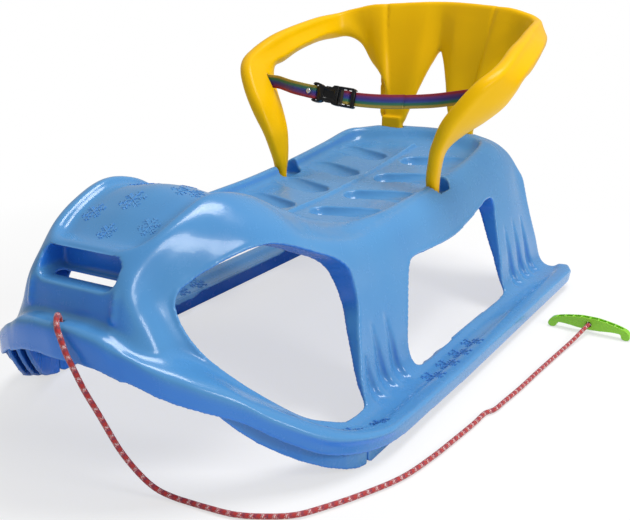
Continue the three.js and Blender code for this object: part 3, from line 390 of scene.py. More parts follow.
def applied(piece, kind, **settings):
    """Adds one modifier to a piece and applies it."""
    modifier = piece.modifiers.new(kind.lower(), kind)
    for key, value in settings.items():
        setattr(modifier, key, value)
    bpy.context.view_layer.objects.active = piece
    bpy.context.view_layer.update()
    mesh = bpy.data.meshes.new_from_object(piece.evaluated_get(bpy.context.evaluated_depsgraph_get()))
    piece.modifiers.clear()
    old = piece.data
    piece.data = mesh
    bpy.data.meshes.remove(old)
    return piece


def cut(piece, *cutters):
    """Takes the cutters out of a piece."""
    for cutter in cutters:
        applied(piece, "BOOLEAN", operation="DIFFERENCE", solver="MANIFOLD", object=cutter)
        bpy.data.objects.remove(cutter)
    return piece


def merged(piece, *others):
    """Puts other meshes into a piece's own, as loose shells."""
    joined = bmesh.new()
    joined.from_mesh(piece.data)
    for other in others:
        joined.from_mesh(other.data)
        bpy.data.objects.remove(other)
    joined.to_mesh(piece.data)
    joined.free()
    return piece


def moulded(piece, cell, rounds):
    """Runs a piece's shells into one skin of even cells, and rounds its edges as a mould does."""
    applied(piece, "REMESH", mode="VOXEL", voxel_size=cell)
    applied(piece, "SMOOTH", factor=0.5, iterations=rounds)
    piece.data.shade_smooth()
    return piece


def reshaped(piece, change):
    """Runs all points of a piece's mesh through a function."""
    points = np.zeros(len(piece.data.vertices) * 3)
    piece.data.vertices.foreach_get("co", points)
    piece.data.vertices.foreach_set("co", change(points.reshape(-1, 3)).ravel())
    piece.data.update()
    return piece


def shifted(piece, place, turn=0.0):
    """Turns a piece's mesh about the upright through the origin and moves it to its place."""
    c, s = math.cos(turn), math.sin(turn)
    return reshaped(piece, lambda points: points @ np.array([[c, s, 0], [-s, c, 0], [0, 0, 1]]) + place)


cloud_scale, scuff_scale = 9.0, 60.0
# Of these, the edge tint is a painted highlight and the hollow tint painted shade; the cloud tint is the
# plastic's own.
cloud_tint, edge_highlight_tint, hollow_shade_tint = 0.16, 0.3, 0.35  # the most that each may change the tone
scuff_rough = 0.1  # the most that scuffs add to the roughness
grain_relief = 0.0001


def ranged(tree, value, low, high, at_low, at_high):
    """A value's place between two others, as a value between two new ones."""
    inputs = {0: value, 1: low, 2: high, 3: at_low, 4: at_high}
    return shader_node(tree, "ShaderNodeMapRange", inputs).outputs[0]


def mixed(tree, factor, first, second):
    """A colour between two others."""
    inputs = {"Factor": factor, 6: first, 7: second}
    return shader_node(tree, "ShaderNodeMix", inputs, data_type="RGBA").outputs[2]


def skin_group():
    """A moulding's skin: cloudy, with painted shade where it faces in or down and in its hollows, scuffed,
    with a painted highlight at its edges.
    """
    group = bpy.data.node_groups.new("moulded skin", "ShaderNodeTree")
    for in_out, kind, names in (
            ("INPUT", "NodeSocketColor", ("Colour", "Cloud And Hollow Shade Colour", "Edge Highlight Colour", "Painted Shade Colour")),
            ("INPUT", "NodeSocketFloat", ("Gloss", "Grain Size")), ("OUTPUT", "NodeSocketColor", ("Colour",)),
            ("OUTPUT", "NodeSocketFloat", ("Roughness",)), ("OUTPUT", "NodeSocketVector", ("Normal",))):
        for name in names:
            group.interface.new_socket(name=name, in_out=in_out, socket_type=kind)
    given = group.nodes.new("NodeGroupInput").outputs
    place = shader_node(group, "ShaderNodeTexCoord").outputs["Object"]
    bend = shader_node(group, "ShaderNodeNewGeometry").outputs
    # Painted shade: faces that look down, inward or along the sled take the painted shade colour.
    facing = separated(group, bend["Normal"])
    outward = maths(group, "MULTIPLY", facing[0], maths(group, "SIGN", separated(group, place)[0]))
    open_sky = maths(group, "MULTIPLY_ADD", maths(group, "ABSOLUTE", facing[1]), -0.35,
                     maths(group, "MULTIPLY_ADD", outward, 0.3, facing[2]))
    shaded = ranged(group, open_sky, 0.25, -0.25, 0.0, 1.0)
    tone = mixed(group, shaded, given["Colour"], given["Painted Shade Colour"])
    # The cloud is the plastic's own faint tone, varying at random.
    cloudy = ranged(group, noise(group, cloud_scale, 2.0, Vector=place), 0.35, 0.7, 0.0, cloud_tint)
    tone = mixed(group, cloudy, tone, given["Cloud And Hollow Shade Colour"])
    # Painted highlight: sharp outer edges, found by pointiness, turn paler.
    edge = ranged(group, bend["Pointiness"], 0.51, 0.57, 0.0, edge_highlight_tint)
    tone = mixed(group, edge, tone, given["Edge Highlight Colour"])
    # Painted shade: hollows and creases, found by pointiness, take the deeper colour.
    hollow = ranged(group, bend["Pointiness"], 0.49, 0.44, 0.0, hollow_shade_tint)
    scuff = noise(group, scuff_scale, 4.0, Vector=place, Roughness=0.7)
    scuffed = ranged(group, scuff, 0.4, 0.75, 0.0, scuff_rough)
    grain = noise(group, given["Grain Size"], 3.0, Vector=place)
    fed(group, group.nodes.new("NodeGroupOutput"), {
        "Colour": mixed(group, hollow, tone, given["Cloud And Hollow Shade Colour"]),
        "Roughness": maths(group, "ADD", scuffed, given["Gloss"]),
        "Normal": bumped(group, grain, 0.25, grain_relief)})
    return group


moulded_skin = skin_group()


def moulded_plastic(name, base, depth, edge, gloss, grain_size=700.0, coat=0.0, shine=0.5, shade=None):
    """A glossy moulded plastic with the skin's variation, in four tones: its own; depth, for clouds and
    painted shade in hollows; edge, a painted highlight; and shade, painted shade where it faces in or down.
    """
    material, tree, shader = new_material(name)
    skin = shader_node(tree, "ShaderNodeGroup", {
        "Colour": colour(base), "Cloud And Hollow Shade Colour": colour(depth), "Edge Highlight Colour": colour(edge),
        "Painted Shade Colour": colour(shade or base), "Gloss": gloss, "Grain Size": grain_size},
        node_tree=moulded_skin)
    fed(tree, shader, {"Base Color": skin.outputs["Colour"], "Roughness": skin.outputs["Roughness"],
                       "Normal": skin.outputs["Normal"], "Coat Weight": coat, "Coat Roughness": 0.06,
                       "Specular IOR Level": shine})
    return material


def grip_piece():
    """The bow, its hole and its pockets, each pocket with a thin wall in front and behind."""
    right = np.array(grip_half) * square
    left = (right[1:-1] * (-1, 1))[::-1]
    loop = np.column_stack([np.concatenate([right, left]), np.zeros(len(right) + len(left))])
    outline = spline(loop, 5, closed=True)[:, :2]
    bow = prism("bow_grip", outline, -grip_depth / 2, grip_depth / 2, "xz")
    pitch = 2 * grip_pocket_reach / grip_pockets
    pocket_end = grip_depth / 2 - grip_pocket_wall
    top = outline[: len(outline) // 4]
    cutters = []
    for k in range(grip_pockets):
        x = -grip_pocket_reach + (k + 0.5) * pitch
        level = top[np.abs(top[:, 0] - abs(x)).argmin(), 1]
        box = rounded_box(pitch - grip_pocket_rib, 2 * grip_pocket_depth, corner=0.0012, sides=4) + (x, level)
        cutters.append(prism("pocket", box, -pocket_end, pocket_end, "xz"))
    hole = circle(grip_hole / 2) + (0, cord_path[-1][2])
    cut(bow, *cutters, prism("hole", hole, -grip_depth, grip_depth, "xz"))
    return moulded(bow, cell=0.00055, rounds=4)


grip = grip_piece()
grip_place = (cord_path[-1][0], cord_path[-1][1] - grip_depth / 2 - mould_gap, 0)
shifted(grip, grip_place, grip_turn)
# Of the lime's colours, the deeper one is for clouds and painted shade in hollows, and the pale one a painted
# highlight on edges.
finish_with(grip, moulded_plastic("lime plastic", "88cc2c", "66a814", "b5e25c", 0.26), "sled")
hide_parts("grip")


# Sled body
# One glossy blue polypropylene moulding, about 3 mm thick: hood, hand pocket, seat pan, side walls, flanges.
# Two windows a side have turned-in edges, the pan has eight grooves, and four sockets take the backrest.
wall = 0.0032
sheet_cell = 0.0026
flange_foot = 0.174
window_wall = 0.003  # of a window's turned-in edge
window_reach = 0.024  # of the same at its deepest, beyond the body's wall
window_root, window_fall = 0.0006, 0.15  # its least reach past the wall, and how steeply it slopes
window_low, window_rise = 0.03, 0.12  # it deepens over this rise, from this height
rim_roll, rim_roll_out = 0.0023, 0.0012
edge_roll, edge_roll_cell = 0.0019, 0.002
rib_height, rib_width = 0.003, 0.005
cord_hole_radius = 0.0034
cord_hole_y = -0.3615
cord_hole_span = (0.14, 0.16)
rear_socket = (0.054, 0.349)
# Cross-sections from nose to rear, each from the middle outward: middle, panel edge, inner and outer top
# of the rim, upper wall, wall foot, flange edge.
stations = [
    [(0, -37.2, 12.3), (2.2, -37, 12.3), (3.2, -36.9, 12.2), (4.4, -36.7, 12), (5.2, -36.5, 11.7),
     (5.7, -36.4, 11.5), (6.2, -36.25, 11.35)],
    [(0, -37.2, 15.2), (2.2, -37, 15.1), (3.2, -36.9, 14.9), (4.4, -36.7, 14.6), (5.2, -36.5, 14.2),
     (5.8, -36.3, 13.8), (6.6, -36.1, 13.3)],
    [(0, -35.4, 15.3), (2.2, -35.3, 15.3), (3.2, -35.2, 15.2), (4.5, -35.2, 15), (5.4, -35.2, 14.5),
     (6.7, -35.1, 13.5), (8.8, -35, 12.1)],
    [(0, -35.1, 16.2), (2.2, -35, 16.2), (3.3, -34.9, 16.2), (5.1, -34.8, 16), (6.2, -34.5, 14.9),
     (7.6, -34.2, 13.1), (10.2, -34, 11.3)],
    [(0, -34.5, 18.2), (2.2, -34.5, 18.2), (3.8, -34.4, 18.2), (5.3, -34.2, 17.8), (6.5, -33.8, 15.8),
     (8.3, -33.3, 12.7), (11.6, -32.9, 10.5)],
    [(0, -33, 20.4), (2.4, -33, 20.4), (4, -32.9, 20.4), (5.4, -32.5, 19.8), (6.6, -31.8, 16.8),
     (8.8, -31.2, 12), (14, -30.5, 8.9)],
    [(0, -30.7, 20.9), (4.4, -30.6, 20.8), (5, -30.6, 21.4), (5.9, -30.2, 21.5), (7.6, -29.3, 18),
     (10.6, -28.8, 10.1), (16.1, -28.3, 6.8)],
    [(0, -27.5, 22.6), (5, -27.3, 22.3), (5.6, -27.3, 22.9), (6.4, -27.1, 22.8), (8.8, -26.5, 19.6),
     (13.2, -26.2, 7.5), (18.7, -25.2, 4.6)],
    [(0, -23.8, 23.9), (5.2, -23.6, 23.3), (5.8, -23.5, 23.9), (6.7, -23.3, 23.7), (10.2, -23.2, 20.3),
     (15.8, -22.8, 4.1), (20.3, -22.2, 3.6)],
    [(0, -19.5, 23.1), (5.6, -19.3, 22.4), (6.2, -19.2, 23.1), (7.1, -19, 22.9), (11.2, -19, 19.6),
     (17.2, -19, 2.7), (21.3, -18.8, 2.9)],
    [(0, -15, 20.9), (6.2, -14.9, 20.2), (6.9, -14.8, 21), (7.9, -14.7, 20.8), (11.8, -14.8, 18),
     (17.4, -15, 2.4), (21.7, -15, 2.6)],
    [(0, -10.5, 18.4), (7.2, -10.4, 17.8), (7.9, -10.4, 19), (8.9, -10.4, 18.9), (12.2, -10.4, 16.8),
     (17, -10.4, 2.3), (21.7, -10.4, 2.4)],
    [(0, -6.3, 16.8), (8.4, -6, 16.7), (9.3, -6, 17.8), (10.2, -6, 17.7), (12.4, -6, 16),
     (17.1, -6, 2.2), (21.7, -6, 2.3)],
    [(0, -2, 16.5), (9.4, -2, 16.5), (10.2, -2, 17.6), (10.9, -2, 17.5), (12.6, -2, 15.9),
     (17.1, -2, 2.2), (21.7, -2, 2.2)],
    [(0, 6, 16.6), (9.7, 6, 16.6), (10.4, 6, 17.7), (11.1, 6, 17.6), (12.7, 6, 15.9),
     (17.1, 6, 2.2), (21.7, 6, 2.2)],
    [(0, 16, 17.2), (9.7, 16, 17.2), (10.4, 16, 18.3), (11.2, 16, 18.2), (12.7, 16, 16.3),
     (17.1, 16, 2.2), (21.7, 16, 2.2)],
    [(0, 25, 18.1), (9.6, 25, 18.1), (10.3, 25, 19.2), (11.2, 25, 19.1), (12.6, 25, 17),
     (17.1, 25, 2.2), (21.7, 25, 2.2)],
    [(0, 33.6, 19.2), (8.8, 30.6, 18.8), (9.8, 31, 20.2), (10.9, 31.2, 20), (12.5, 31.6, 17.8),
     (17.1, 31, 2.2), (21.7, 31, 2.2)],
    [(0, 35, 20.4), (7.4, 33, 20.3), (8.6, 32.7, 20.3), (10.4, 32.8, 20), (12.4, 33.9, 17.7),
     (17.1, 33.6, 2.2), (21.7, 33.6, 2.2)],
    [(0, 36.9, 20.3), (5.6, 35.9, 20.3), (8.2, 35, 20.1), (10.2, 34.8, 19.6), (12.2, 36.4, 17.4),
     (17.1, 36.4, 2.2), (21.6, 36.4, 2.2)],
    [(0, 37.9, 16.8), (5.6, 37.5, 16.6), (8.6, 37.2, 16.2), (11, 37.7, 15.8), (13, 38.7, 14.8),
     (17.1, 38.4, 2.2), (20.6, 38.8, 2.2)],
]
# How far the edge band hangs down at each cross-section, in squares.
band_heights = [0.12, 2, 2, 2, 1.9, 1.75, 1.6, 1.5, 1.4, 1.2, 1.1] + [1] * 10

front_window = [
    (-30.5, 15.5), (-30.2, 16.8), (-28.6, 17.9), (-26.3, 18.9), (-23.7, 19.6), (-21.5, 19.6), (-19.1, 18.9),
    (-15.8, 17.5), (-12.6, 16), (-11, 14.6), (-10.7, 13.2), (-10.9, 11.1), (-12.3, 8.7), (-14.1, 5.2),
    (-14.9, 3.1), (-16.8, 2.75), (-18.9, 3), (-21, 3.75), (-22.8, 4.6), (-24.8, 6.1), (-26.7, 8),
    (-28.3, 10.1), (-29.6, 12.1), (-30.3, 13.9),
]
rear_window = [
    (-3.2, 2.6), (-3.5, 3.4), (-3.4, 5), (-1.2, 8.8), (0.8, 11.8), (1.6, 12.4), (6.2, 12.3), (13.2, 12.2),
    (18.3, 12.9), (21.8, 13.6), (24.8, 14.1), (26.1, 13.8), (26.3, 12.6), (25.4, 9.4), (24.2, 5),
    (23.5, 2.8), (22.8, 2.55), (10, 2.5),
]
# Each claw-like recess on a leg: its tip, and its foot's rear corner, along and up, in squares.
claws = [
    ((-12.1, 7.1), (-11.6, 2)), ((-9.6, 9.4), (-8.7, 2)), ((-6.6, 9.6), (-5.9, 2)),
    ((28, 10.4), (28.7, 2)), ((31, 10.6), (32.1, 2)), ((34.2, 10.4), (35.2, 2)),
]
claw_width = 2.4
claw_depth = 0.75
claw_columns = (5.5, 9.99)
bead_height, bead_columns = 0.32, (10.35, 10.55, 11.0, 11.4)
ridge_x, ridge_width, ridge_height = 4.65, 0.22, 0.28
ridge_levels, ridge_rear = (15.3, 15.6, 17.2, 18.6), -33.5
edge_limit = 21.72
middle_column = 12  # a cross-section has twelve stretches on each side of the middle


def eased(value, low, high):
    """Nought below low, one above high, and a smooth rise between."""
    t = np.clip((value - low) / (high - low), 0, 1)
    return t * t * (3 - 2 * t)


def station_line(station, band):
    """One station's points from the middle to the band's lower edge, with the corners eased."""
    middle, panel, rim_in, rim_out, wall_top, foot, edge = (np.array(p, float) for p in station)
    shoulder = spline([rim_in, rim_out, wall_top, foot], 2)[3]
    down = [wall_top + share * (foot - wall_top) for share in (0.34, 0.68, 0.94)]
    return [middle, middle + 0.55 * (panel - middle), panel, rim_in, rim_out, shoulder, wall_top,
            *down, foot + 0.2 * (edge - foot), edge, edge + (0.04, 0, -band)]


def even_steps(points):
    """How many steps each stretch needs for cells of about the sheet's size."""
    lengths = np.linalg.norm(np.diff(points, axis=0), axis=-1)
    lengths = lengths.reshape(len(lengths), -1).max(axis=1)
    return [max(2, math.ceil(length * square / sheet_cell)) for length in lengths]


def counted(steps):
    """The stretch number, with its fraction, of each point that those steps give."""
    return np.array([i + k / n for i, n in enumerate(steps) for k in range(n)] + [len(steps)])


def sheet_normals(sheet):
    """The outward direction at each of a sheet's points."""
    normal = np.cross(np.gradient(sheet, axis=1), np.gradient(sheet, axis=0))
    return normal / np.linalg.norm(normal, axis=-1, keepdims=True)


def pressed(sheet, row, column):
    """Presses the small forms into the sheet: the claws, the flanges' bead and the front panel's ridges."""
    across = np.abs(column - middle_column)[None, :]
    x, y, z = sheet[..., 0], sheet[..., 1], sheet[..., 2]
    outward = np.sign(column - middle_column)[None, :]
    for (tip_y, tip_z), (foot_y, foot_z) in claws:
        drop = (tip_z - z) / (tip_z - foot_z)
        bend = np.clip(drop, 0, 1)
        rear = tip_y + (foot_y - tip_y) * bend**0.7
        width = claw_width * np.clip(bend, 0.02, 1) ** 0.8
        share = (rear - y) / width
        profile = eased(share, -0.08, 0.1) * (1 - eased(share, 0.25, 1.05))
        on_wall = (across > claw_columns[0]) * (across < claw_columns[1])
        depth = claw_depth * bend**0.8 * eased(drop, 0, 0.06) * profile * on_wall
        sheet[..., 0] -= outward * depth
    bead = bead_height * eased(across, *bead_columns[:2]) * (1 - eased(across, *bead_columns[2:]))
    bead = bead * eased(row, 5, 8)[:, None]
    ridge = np.exp(-((np.abs(x) - ridge_x) / ridge_width) ** 2) * eased(z, *ridge_levels[:2])
    ridge = ridge * (1 - eased(z, *ridge_levels[2:])) * (y < ridge_rear)
    raised = sheet + sheet_normals(sheet) * (bead + ridge_height * ridge)[..., None]
    raised[..., 0] = np.clip(raised[..., 0], -edge_limit, edge_limit)
    return raised


def body_sheet():
    """The outer surface as an even grid of points, in metres."""
    halves = [station_line(station, band) for station, band in zip(stations, band_heights)]
    lines = np.array([[p * (-1, 1, 1) for p in half[:0:-1]] + half for half in halves])
    row_steps = even_steps(lines)
    rows = spline(lines, row_steps)
    turned = rows.transpose(1, 0, 2)
    column_steps = even_steps(turned)
    sheet = spline(turned, column_steps).transpose(1, 0, 2)
    return placed(pressed(sheet, counted(row_steps), counted(column_steps)))


def slab(name, upper, lower):
    """A closed solid between two sheets of the same grid."""
    rows, cols = upper.shape[:2]
    points = np.concatenate([upper.reshape(-1, 3), lower.reshape(-1, 3)])
    under = rows * cols
    faces = grid_faces(rows, cols) + [f[::-1] for f in grid_faces(rows, cols, start=under)]
    last = (rows - 1) * cols
    for j in range(cols - 1):
        faces.append([j + 1, j, under + j, under + j + 1])
        faces.append([last + j, last + j + 1, under + last + j + 1, under + last + j])
    for i in range(rows - 1):
        a = i * cols
        b = a + cols - 1
        faces.append([a, a + cols, under + a + cols, under + a])
        faces.append([b + cols, b, under + b, under + b + cols])
    return new_piece(name, points, faces)


def grown(outline, distance):
    """A closed outline moved outward."""
    along = np.roll(outline, -1, axis=0) - np.roll(outline, 1, axis=0)
    along /= np.linalg.norm(along, axis=1, keepdims=True)
    area = np.sum(outline[:, 0] * np.roll(outline[:, 1], -1) - np.roll(outline[:, 0], -1) * outline[:, 1])
    return outline + math.copysign(distance, area) * np.stack([along[:, 1], -along[:, 0]], axis=1)


def faced_out(piece, weld=0):
    """Turns all faces of a piece outward, after joining points that are closer than the weld."""
    shape = bmesh.new()
    shape.from_mesh(piece.data)
    if weld:
        bmesh.ops.remove_doubles(shape, verts=shape.verts, dist=weld)
    bmesh.ops.recalc_face_normals(shape, faces=shape.faces)
    shape.to_mesh(piece.data)
    shape.free()
    return piece


def ring_solid(name, loops, closed=True):
    """A solid skinned over loops of points: a hollow ring when closed, or a cup with both ends capped."""
    count = len(loops[0])
    rows = loops + loops[:1] if closed else loops
    faces = grid_faces(len(rows), count, round_cols=True)
    if not closed:
        faces += [list(range(count))[::-1], [(len(rows) - 1) * count + k for k in range(count)]]
    return faced_out(new_piece(name, np.concatenate(rows), faces), weld=1e-7)


def smooth_window(points):
    """A window's outline, rounded, in metres: along and up."""
    flat = np.column_stack([points, np.zeros(len(points))])
    return spline(flat, 8, closed=True)[:, :2] * square - (middle_shift, 0)


def window_edge(outline, side, surface):
    """The turned-in edge of a window, shallower towards its foot, and the soft roll along its rim."""
    start = side * (flange_foot + 0.004)
    face = [surface.ray_cast(Vector((start, y, z)), Vector((-side, 0, 0)))[0].x for y, z in outline]
    outer = grown(outline, window_wall)
    turned = []
    for loop, deep in ((outline, 0), (outline, 1), (outer, 1), (outer, 0)):
        points = []
        for (y, z), x in zip(loop, face):
            share = min(1, max(0, (z - window_low) / window_rise))
            reach = wall + window_root + window_reach * share if deep else wall / 2
            points.append((x - side * reach, y, z - window_fall * reach * deep))
        turned.append(np.array(points))
    roll = []
    for angle in np.linspace(0, 2 * math.pi, 8, endpoint=False):
        loop = grown(outline, rim_roll_out + rim_roll * math.cos(angle))
        x = np.array(face) - side * (wall / 2 + rim_roll * math.sin(angle))
        roll.append(np.column_stack([x, loop]))
    return [ring_solid("window_return", turned), ring_solid("window_roll", roll)]


pan_levels = np.array([(-6, 16.7), (-2, 16.5), (6, 16.6), (16, 17.2), (25, 18.1), (31, 18.9)]) * square


def pan_level(y):
    """Height of the seat pan at a place along it, counted from the drawing's origin."""
    return float(np.interp(y, pan_levels[:, 0], pan_levels[:, 1]))


def groove_parts():
    """The eight grooves: thin cups with round floors, and the cutters that open the pan over them."""
    length, width, depth, lining = 0.086, 0.034, 0.013, 0.0024
    first_y, pitch, aside, splay = 0.022, 0.078, 0.054, math.radians(20)
    middle_share, end_share = 0.66, 0.34  # of the depth: in the middle, and more or less at the ends
    cups, cutters = [], []
    for k in range(4):
        y = first_y + pitch * k
        slope = (pan_level(y + width / 2) - pan_level(y - width / 2)) / width
        for side in (1, -1):
            turn = side * splay
            tilt = slope * np.array([math.sin(turn), math.cos(turn)])

            def level(inset, drop, under=0.0):
                shape = rounded_slot(length - inset, width - inset)
                share = middle_share - end_share * side * shape[:, 0] / (length / 2)
                fall = np.maximum(drop * share, min(drop, wall))
                return np.column_stack([shape, shape @ tilt - fall - under])

            steps = [(0, wall * 0.3), (0.06, 0.4 * depth), (0.3, 0.8 * depth), (0.62, 0.97 * depth)]
            inside = [level(width * inset, drop) for inset, drop in steps]
            outside = [level(width * inset - 2 * lining, drop, lining * (drop > wall))
                       for inset, drop in steps]
            ends = [np.zeros((len(inside[0]), 3)) - (0, 0, middle_share * depth + under)
                    for under in (lining, 0)]
            place = (side * aside, y - middle_shift, pan_level(y))
            opening = prism("groove_opening", rounded_slot(length, width), -depth, depth)
            cups.append(shifted(ring_solid("groove", outside + ends + inside[::-1]), place, turn))
            cutters.append(shifted(opening, place, turn))
    return cups, cutters


def socket_parts(sheet):
    """The sockets: a roomy recess over each front one, and narrow slots for the rear tenons."""
    lining, clear = 0.0026, 0.0006
    leg_place, leg_size = (0.1075, 0.1345), (0.016, 0.013)
    recess_place, recess_size, rear_size = (0.1055, 0.143), (0.027, 0.041), (0.033, 0.012)
    # The lowest and highest level of each part, of its inside, and of two more holes.
    recess_span, recess_inside, recess_leg_hole = (0.1594, 0.19), (0.162, 0.2), (0.15, 0.17)
    sleeve_span, sleeve_inside = (0.138, 0.1605), (0.13, 0.17)
    rear_span, rear_inside, rear_opening = (0.162, 0.208), (0.15, 0.21), (0.1588, 0.23)
    cups, cutters = [], []

    def outlines(side, place, size):
        """A socket's inside and outside in plan."""
        return [rounded_box(size[0] + 2 * extra, size[1] + 2 * extra, min(size) / share, 5)
                + (side * place[0], place[1] - middle_shift)
                for extra, share in ((clear, 2.4), (clear + lining, 2))]

    for side in (1, -1):
        leg, leg_outside = outlines(side, leg_place, leg_size)
        recess, recess_outside = outlines(side, recess_place, recess_size)
        rear, rear_outside = outlines(side, rear_socket, rear_size)
        tray = cut(prism("recess", recess_outside, *recess_span),
                   prism("recess_inside", recess, *recess_inside), prism("leg_hole", leg, *recess_leg_hole))
        sleeve = cut(prism("sleeve", leg_outside, *sleeve_span), prism("leg_hole", leg, *sleeve_inside))
        rear_sleeve = cut(prism("rear_sleeve", rear_outside, *rear_span),
                          prism("rear_hole", rear, *rear_inside))
        for lined in (tray, rear_sleeve):
            cut(lined, slab("above", sheet + (0, 0, 0.06), sheet - wall / 2 * sheet_normals(sheet)))
        cups += [tray, sleeve, rear_sleeve]
        cutters += [prism("recess_opening", recess, *recess_inside),
                    prism("rear_opening", rear, *rear_opening)]
    return cups, cutters


def pocket_parts(surface):
    """The hand pocket in the front panel: its lining, and the cutters for its mouth and its slot."""
    width, height, level, lining = 0.086, 0.026, 0.191, 0.003
    slot_width, slot_height, slot_y, slot_rise, slot_span = 0.078, 0.015, -0.322, 0.005, (-0.03, 0.002)
    back = -0.31 - middle_shift
    inner = rounded_box(width, height, height / 2.8)
    outer = rounded_box(width + 2 * lining, height + 2 * lining, height / 2.4)

    def mouth(shape):
        hits = [surface.ray_cast(Vector((x, -0.5, z + level)), Vector((0, 1, 0)))[0] for x, z in shape]
        return np.array([(x, hit.y + wall / 2, z + level) for (x, z), hit in zip(shape, hits)])

    def at_back(shape, y):
        return np.column_stack([shape[:, 0], np.full(len(shape), y), shape[:, 1] + level])

    def point(y):
        return np.zeros((len(inner), 3)) + (0, y, level)

    cup = ring_solid("pocket", [mouth(outer), at_back(outer, back + lining), point(back + lining),
                                point(back), at_back(inner, back), mouth(inner)])
    slot_place = (0, slot_y - middle_shift, level - height / 2 + slot_rise)
    slots = [shifted(prism("slot", rounded_slot(slot_width, slot_height), *slot_span), slot_place)
             for _ in range(2)]
    cut(cup, slots[0])
    opening = prism("pocket_opening", inner + (0, level), -0.4 - middle_shift, back, "xz")
    return cup, [opening, slots[1]]


def edge_rolls(sheet):
    """The rounded rim along the moulding's open edge, all the way round."""
    middle = sheet - wall / 2 * sheet_normals(sheet)
    rolls = []
    for path in (middle[0], middle[-1], middle[:, 0], middle[:, -1]):
        line, reach = resampled(path, edge_roll_cell)
        rolls.append(tube("edge_roll", line, reach, sides=10,
                          radius=lambda angles, _: np.full(len(angles), edge_roll)))
    return rolls


def sled_moulding():
    """The whole body, from its sheet to the finished moulding."""
    sheet = body_sheet()
    shell = slab("sled_moulding", sheet, sheet - wall * sheet_normals(sheet))
    surface = BVHTree.FromObject(shell, bpy.context.evaluated_depsgraph_get())
    extras = edge_rolls(sheet)
    for points in (front_window, rear_window):
        outline = smooth_window(points)
        for side in (1, -1):
            extras += window_edge(outline, side, surface)
        cut(shell, prism("window", outline, -flange_foot, flange_foot, "yz"))
    pocket, pocket_cutters = pocket_parts(surface)
    cups, openings = groove_parts()
    sockets, socket_openings = socket_parts(sheet)
    cord_hole = circle(cord_hole_radius) + (0, cord_hole_y - middle_shift)
    cord_opening = prism("cord_hole", cord_hole, *cord_hole_span)
    cut(shell, *pocket_cutters, *openings, *socket_openings, cord_opening)
    rib = np.concatenate([pan_levels[1:] + (0, rib_height), (pan_levels[1:] - (0, wall * 0.4))[::-1]])
    rib = prism("rib", rib - (middle_shift, 0), -rib_width / 2, rib_width / 2, "yz")
    extras += [pocket, *cups, *sockets, rib]
    return moulded(merged(shell, *extras), cell=0.0017, rounds=7)


# The shade colour is painted shade where the body faces in or down, the second colour is for clouds and
# painted shade in hollows, and the third a painted highlight on edges.
blue_plastic = moulded_plastic("blue plastic", "4f8fc5", "2463b0", "74b2e6", 0.22, coat=0.2, shine=0.35,
                               shade="2a7bdb")
body = finish_with(sled_moulding(), blue_plastic, "sled")
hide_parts("sled_body")


# Runners
# Four slide-in strips of the same plastic under the flanges: a comb of three fins under one web.
# The two straight ones carry the sled on snow, and the two front ones follow the body up to the nose.
for end in ("front_left", "front_right", "rail_left", "rail_right"):
    node = bpy.data.objects["runner_" + end]
    strip = bpy.data.objects.new("strip_" + end, node.data.copy())
    strip.data.transform(node.matrix_world)
    bpy.context.scene.collection.objects.link(strip)
    finish_with(moulded(strip, cell=0.0013, rounds=2), blue_plastic, "sled")
    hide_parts("runner_" + end)


# Ornament
# Snowflakes that stand 0.7 mm proud of the mould. A row lies in each flange's trough beside the seat, and
# smaller ones run round the nose's curve, all in a darker tone. Those on the hood have the body's own tone.
flake_places = [(0.195, y, 0.022, 0.027) for y in (-0.044, -0.008, 0.026, 0.061)]
flake_places += [(0.197, -0.17, 0.02, 0.019), (0.187, -0.203, 0.02, 0.019), (0.172, -0.232, 0.018, 0.019)]
hood_level = 0.22
hood_flakes = [(-0.03, -0.215, 0.03), (0.028, -0.222, 0.034), (-0.004, -0.262, 0.026), (0.034, -0.285, 0.02)]
hood_flakes += [(-0.034, -0.28, 0.022), (-0.001, -0.3, 0.018), (0.001, -0.19, 0.016)]
flake_bar, flake_rise, flake_root = 0.0012, 0.0007, 0.0004
flake_twig = 0.14  # a twig's length, as a share of the snowflake's size


def flake_bars(size, turn):
    """The bars of one flat snowflake: six arms, each with two pairs of twigs, as start and end points."""
    bars = []
    for k in range(6):
        angle = turn + k * math.pi / 3
        along = np.array([math.cos(angle), math.sin(angle)])
        bars.append((0 * along, along * size / 2))
        for share in (0.45, 0.75):
            for bend in (1, -1):
                twig = np.array([math.cos(angle + bend * math.pi / 3), math.sin(angle + bend * math.pi / 3)])
                fork = along * size / 2 * share
                bars.append((fork, fork + twig * size * flake_twig))
    return bars


body_surface = BVHTree.FromObject(body, bpy.context.evaluated_depsgraph_get())


def flake(place, size):
    """One snowflake laid down onto the moulding from above."""
    points, faces = [], []
    for start, end in flake_bars(size, math.pi / 6):
        along = (end - start) / np.linalg.norm(end - start)
        side = np.array([-along[1], along[0]]) * flake_bar / 2
        rows = []
        for share in (0, 0.5, 1):
            step = start + (end - start) * share
            for corner in (step + side, step + side * 0.5, step - side * 0.5, step - side):
                x, y = place[0] + corner[0], place[1] + corner[1]
                hit = body_surface.ray_cast(Vector((x, y, place[2] + 0.1)), Vector((0, 0, -1)))[0]
                rows.append((x, y, hit.z if hit else place[2]))
        rows = np.array(rows).reshape(3, 4, 3)
        rows[:, 1:3, 2] += flake_rise
        rows[:, (0, 3), 2] -= flake_root
        base = len(points)
        points += list(rows.reshape(-1, 3))
        faces += [[base + k for k in face] for face in (
            *grid_faces(3, 4), (3, 2, 1, 0), (8, 9, 10, 11), (0, 4, 8, 11, 7, 3))]
    piece = faced_out(new_piece("flake", points, faces))
    piece.data.shade_flat()
    return piece


def snowflakes(name, places, finish):
    """A group of snowflakes as one piece, from the place and size of each."""
    ornament = merged(*[flake((x, y - middle_shift, z), size) for x, y, z, size in places])
    ornament.name = name
    finish_with(ornament, finish, "sled")


